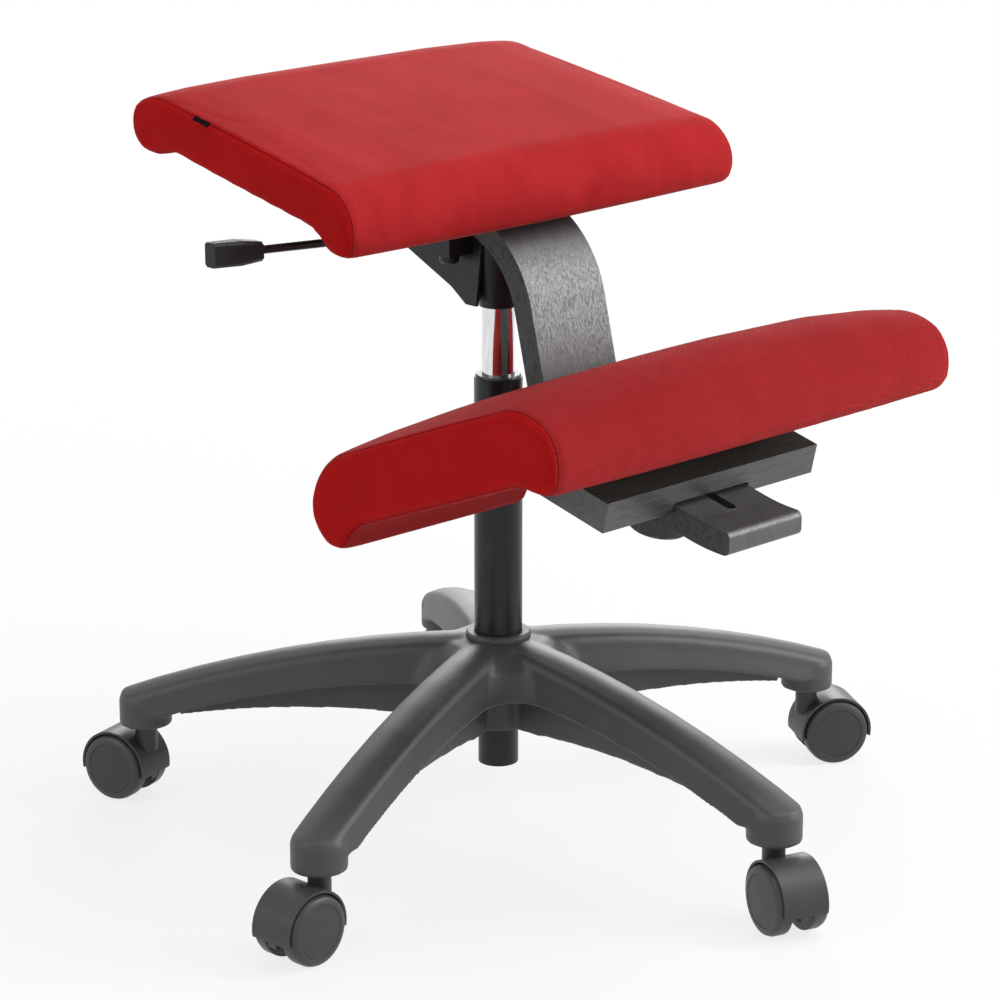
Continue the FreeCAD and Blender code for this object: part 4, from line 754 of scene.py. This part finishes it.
def seam_tag(ring, tape):
    """Small bare tag sewn into the right seam near the rear: a strip that follows the seam and hangs over
    the panel.  TAG_SECTION, in mm down and out of the panel, is carried along the seam's points."""
    top = ring[(ring[:, 1] > TAG_FRONT) & (ring[:, 1] < TAG_REAR) & (ring[:, 2] > ring[:, 2].mean())]
    top = top[np.argsort(top[:, 1])]
    loop = np.array(TAG_SECTION) @ np.array([TAG_DOWN, TAG_OUT]) * MM
    rows, around = len(top), len(loop)
    ends = [list(range(around)), list(range(rows * around - 1, (rows - 1) * around - 1, -1))]
    mesh = closed_mesh("seam_tag", top[:, None] + loop[None], grid_faces(rows, around, False) + ends)
    put("seam_tag", mesh, "upper", slot_of["seat_cushion"], tape)


seat_cloth = cushion_cloth("red seat cloth", COVER_TILT, COVER_DATUM, SEAT_THICK, RED_LIGHT, RED_DARK, 0.09)
knee_cloth = cushion_cloth("red knee cloth", KNEE_TILT, KNEE_DATUM, KNEE_THICK, RED_LIGHT, RED_DARK, 0.85)
side_cloth = panel_cloth("red panel cloth", PANEL_LIGHT, PANEL_DARK)
seam_thread = thread("dark red thread", (0.17, 0.004, 0.005))
tag_tape = thread("dark tag tape", (0.012, 0.007, 0.007))

seat_rings = cushion("seat_cushion", "upper", SEAT_HALF, seat_cloth, side_cloth, seam_thread, seat_cover)
cushion("knee_cushion", "knee_rest", KNEE_HALF, knee_cloth, side_cloth, seam_thread)
seam_tag(seat_rings[0], tag_tape)


# Floor, light and camera


def floor_piece():
    """Large white floor.  Camera and mirror rays see part of it as plain white, so only the chair's
    shadow darkens it."""
    mesh = bpy.data.meshes.new("floor")
    reach = 30.0
    mesh.from_pydata([(-reach, -reach, 0), (reach, -reach, 0), (reach, reach, 0), (-reach, reach, 0)], [],
                     [(0, 1, 2, 3)])
    paint = Paint("pale floor", (0.80, 0.80, 0.80), 0.9)
    glow = paint.node("Emission", None, {"Color": (1.0, 1.0, 1.0, 1.0), "Strength": 1.0})
    seen = paint.node("LightPath", output="Is Camera Ray")
    mirrored = paint.node("LightPath", output="Is Glossy Ray")
    x, y, _ = paint.axes(paint.place())
    far = (x * x + y * y).power(0.5).between(0.5, 1.7)
    share = (seen + mirrored).math("MINIMUM", 1.0) * (0.80 + far * 0.20)
    blended = paint.node("MixShader", None, {0: share, 1: Value(paint, paint.shader.outputs[0]), 2: glow})
    output = next(n for n in paint.tree.nodes if n.type == "OUTPUT_MATERIAL")
    paint.feed(output.inputs["Surface"], blended)
    mesh.materials.append(paint.material)
    added("floor", mesh)


def studio(ambient=0.36):
    """White world: camera and mirror rays see it in full, and it lights the chair at ambient strength."""
    world = bpy.data.worlds.new("studio")
    bpy.context.scene.world = world
    world.use_nodes = True
    nodes, links = world.node_tree.nodes, world.node_tree.links
    back = nodes["Background"]
    path = nodes.new("ShaderNodeLightPath")
    either = nodes.new("ShaderNodeMath")
    either.operation = "MAXIMUM"
    level = nodes.new("ShaderNodeMapRange")
    level.inputs["To Min"].default_value = ambient
    level.inputs["To Max"].default_value = 1.0
    links.new(path.outputs["Is Camera Ray"], either.inputs[0])
    links.new(path.outputs["Is Glossy Ray"], either.inputs[1])
    links.new(either.outputs[0], level.inputs["Value"])
    links.new(level.outputs[0], back.inputs["Strength"])
    back.inputs["Color"].default_value = (1, 1, 1, 1)


def lamp(name, place, aim, size, power, tall=None):
    """Area light aimed at a point: a disk, or with tall a rectangle."""
    data = bpy.data.lights.new(name, "AREA")
    data.shape = "RECTANGLE" if tall else "DISK"
    data.size = size
    data.size_y = tall or size
    data.energy = power
    light = added(name, data)
    light.location = place
    light.rotation_euler = (Vector(aim) - Vector(place)).to_track_quat("-Z", "Y").to_euler()


def camera():
    """At the photograph's viewing angle: 126.6 mm lens, about 3.1 m away and 17 degrees down."""
    data = bpy.data.cameras.new("camera")
    data.lens = 126.6
    data.sensor_width = 36.0
    data.shift_x = 0.0015
    data.clip_end = 100.0
    cam = added("camera", data)
    cam.location = (-2.0082, -2.1106, 1.1824)
    cam.rotation_euler = (math.radians(90.0 - 16.945), 0.0, math.radians(-43.579))
    bpy.context.scene.camera = cam


floor_piece()
studio()
lamp("top", (0.6, -1.0, 3.4), (0, 0, 0.4), 2.6, 43.0)
lamp("right", (2.1, -2.2, 1.7), (0, 0, 0.5), 1.1, 80.0, 2.6)
lamp("left", (-3.4, 0.6, 2.0), (0, 0, 0.4), 2.2, 30.0)
lamp("back", (2.5, 2.4, 1.3), (0, 0, 0.35), 2.0, 60.0, 1.6)
camera()
bpy.context.scene.view_settings.view_transform = "Standard"
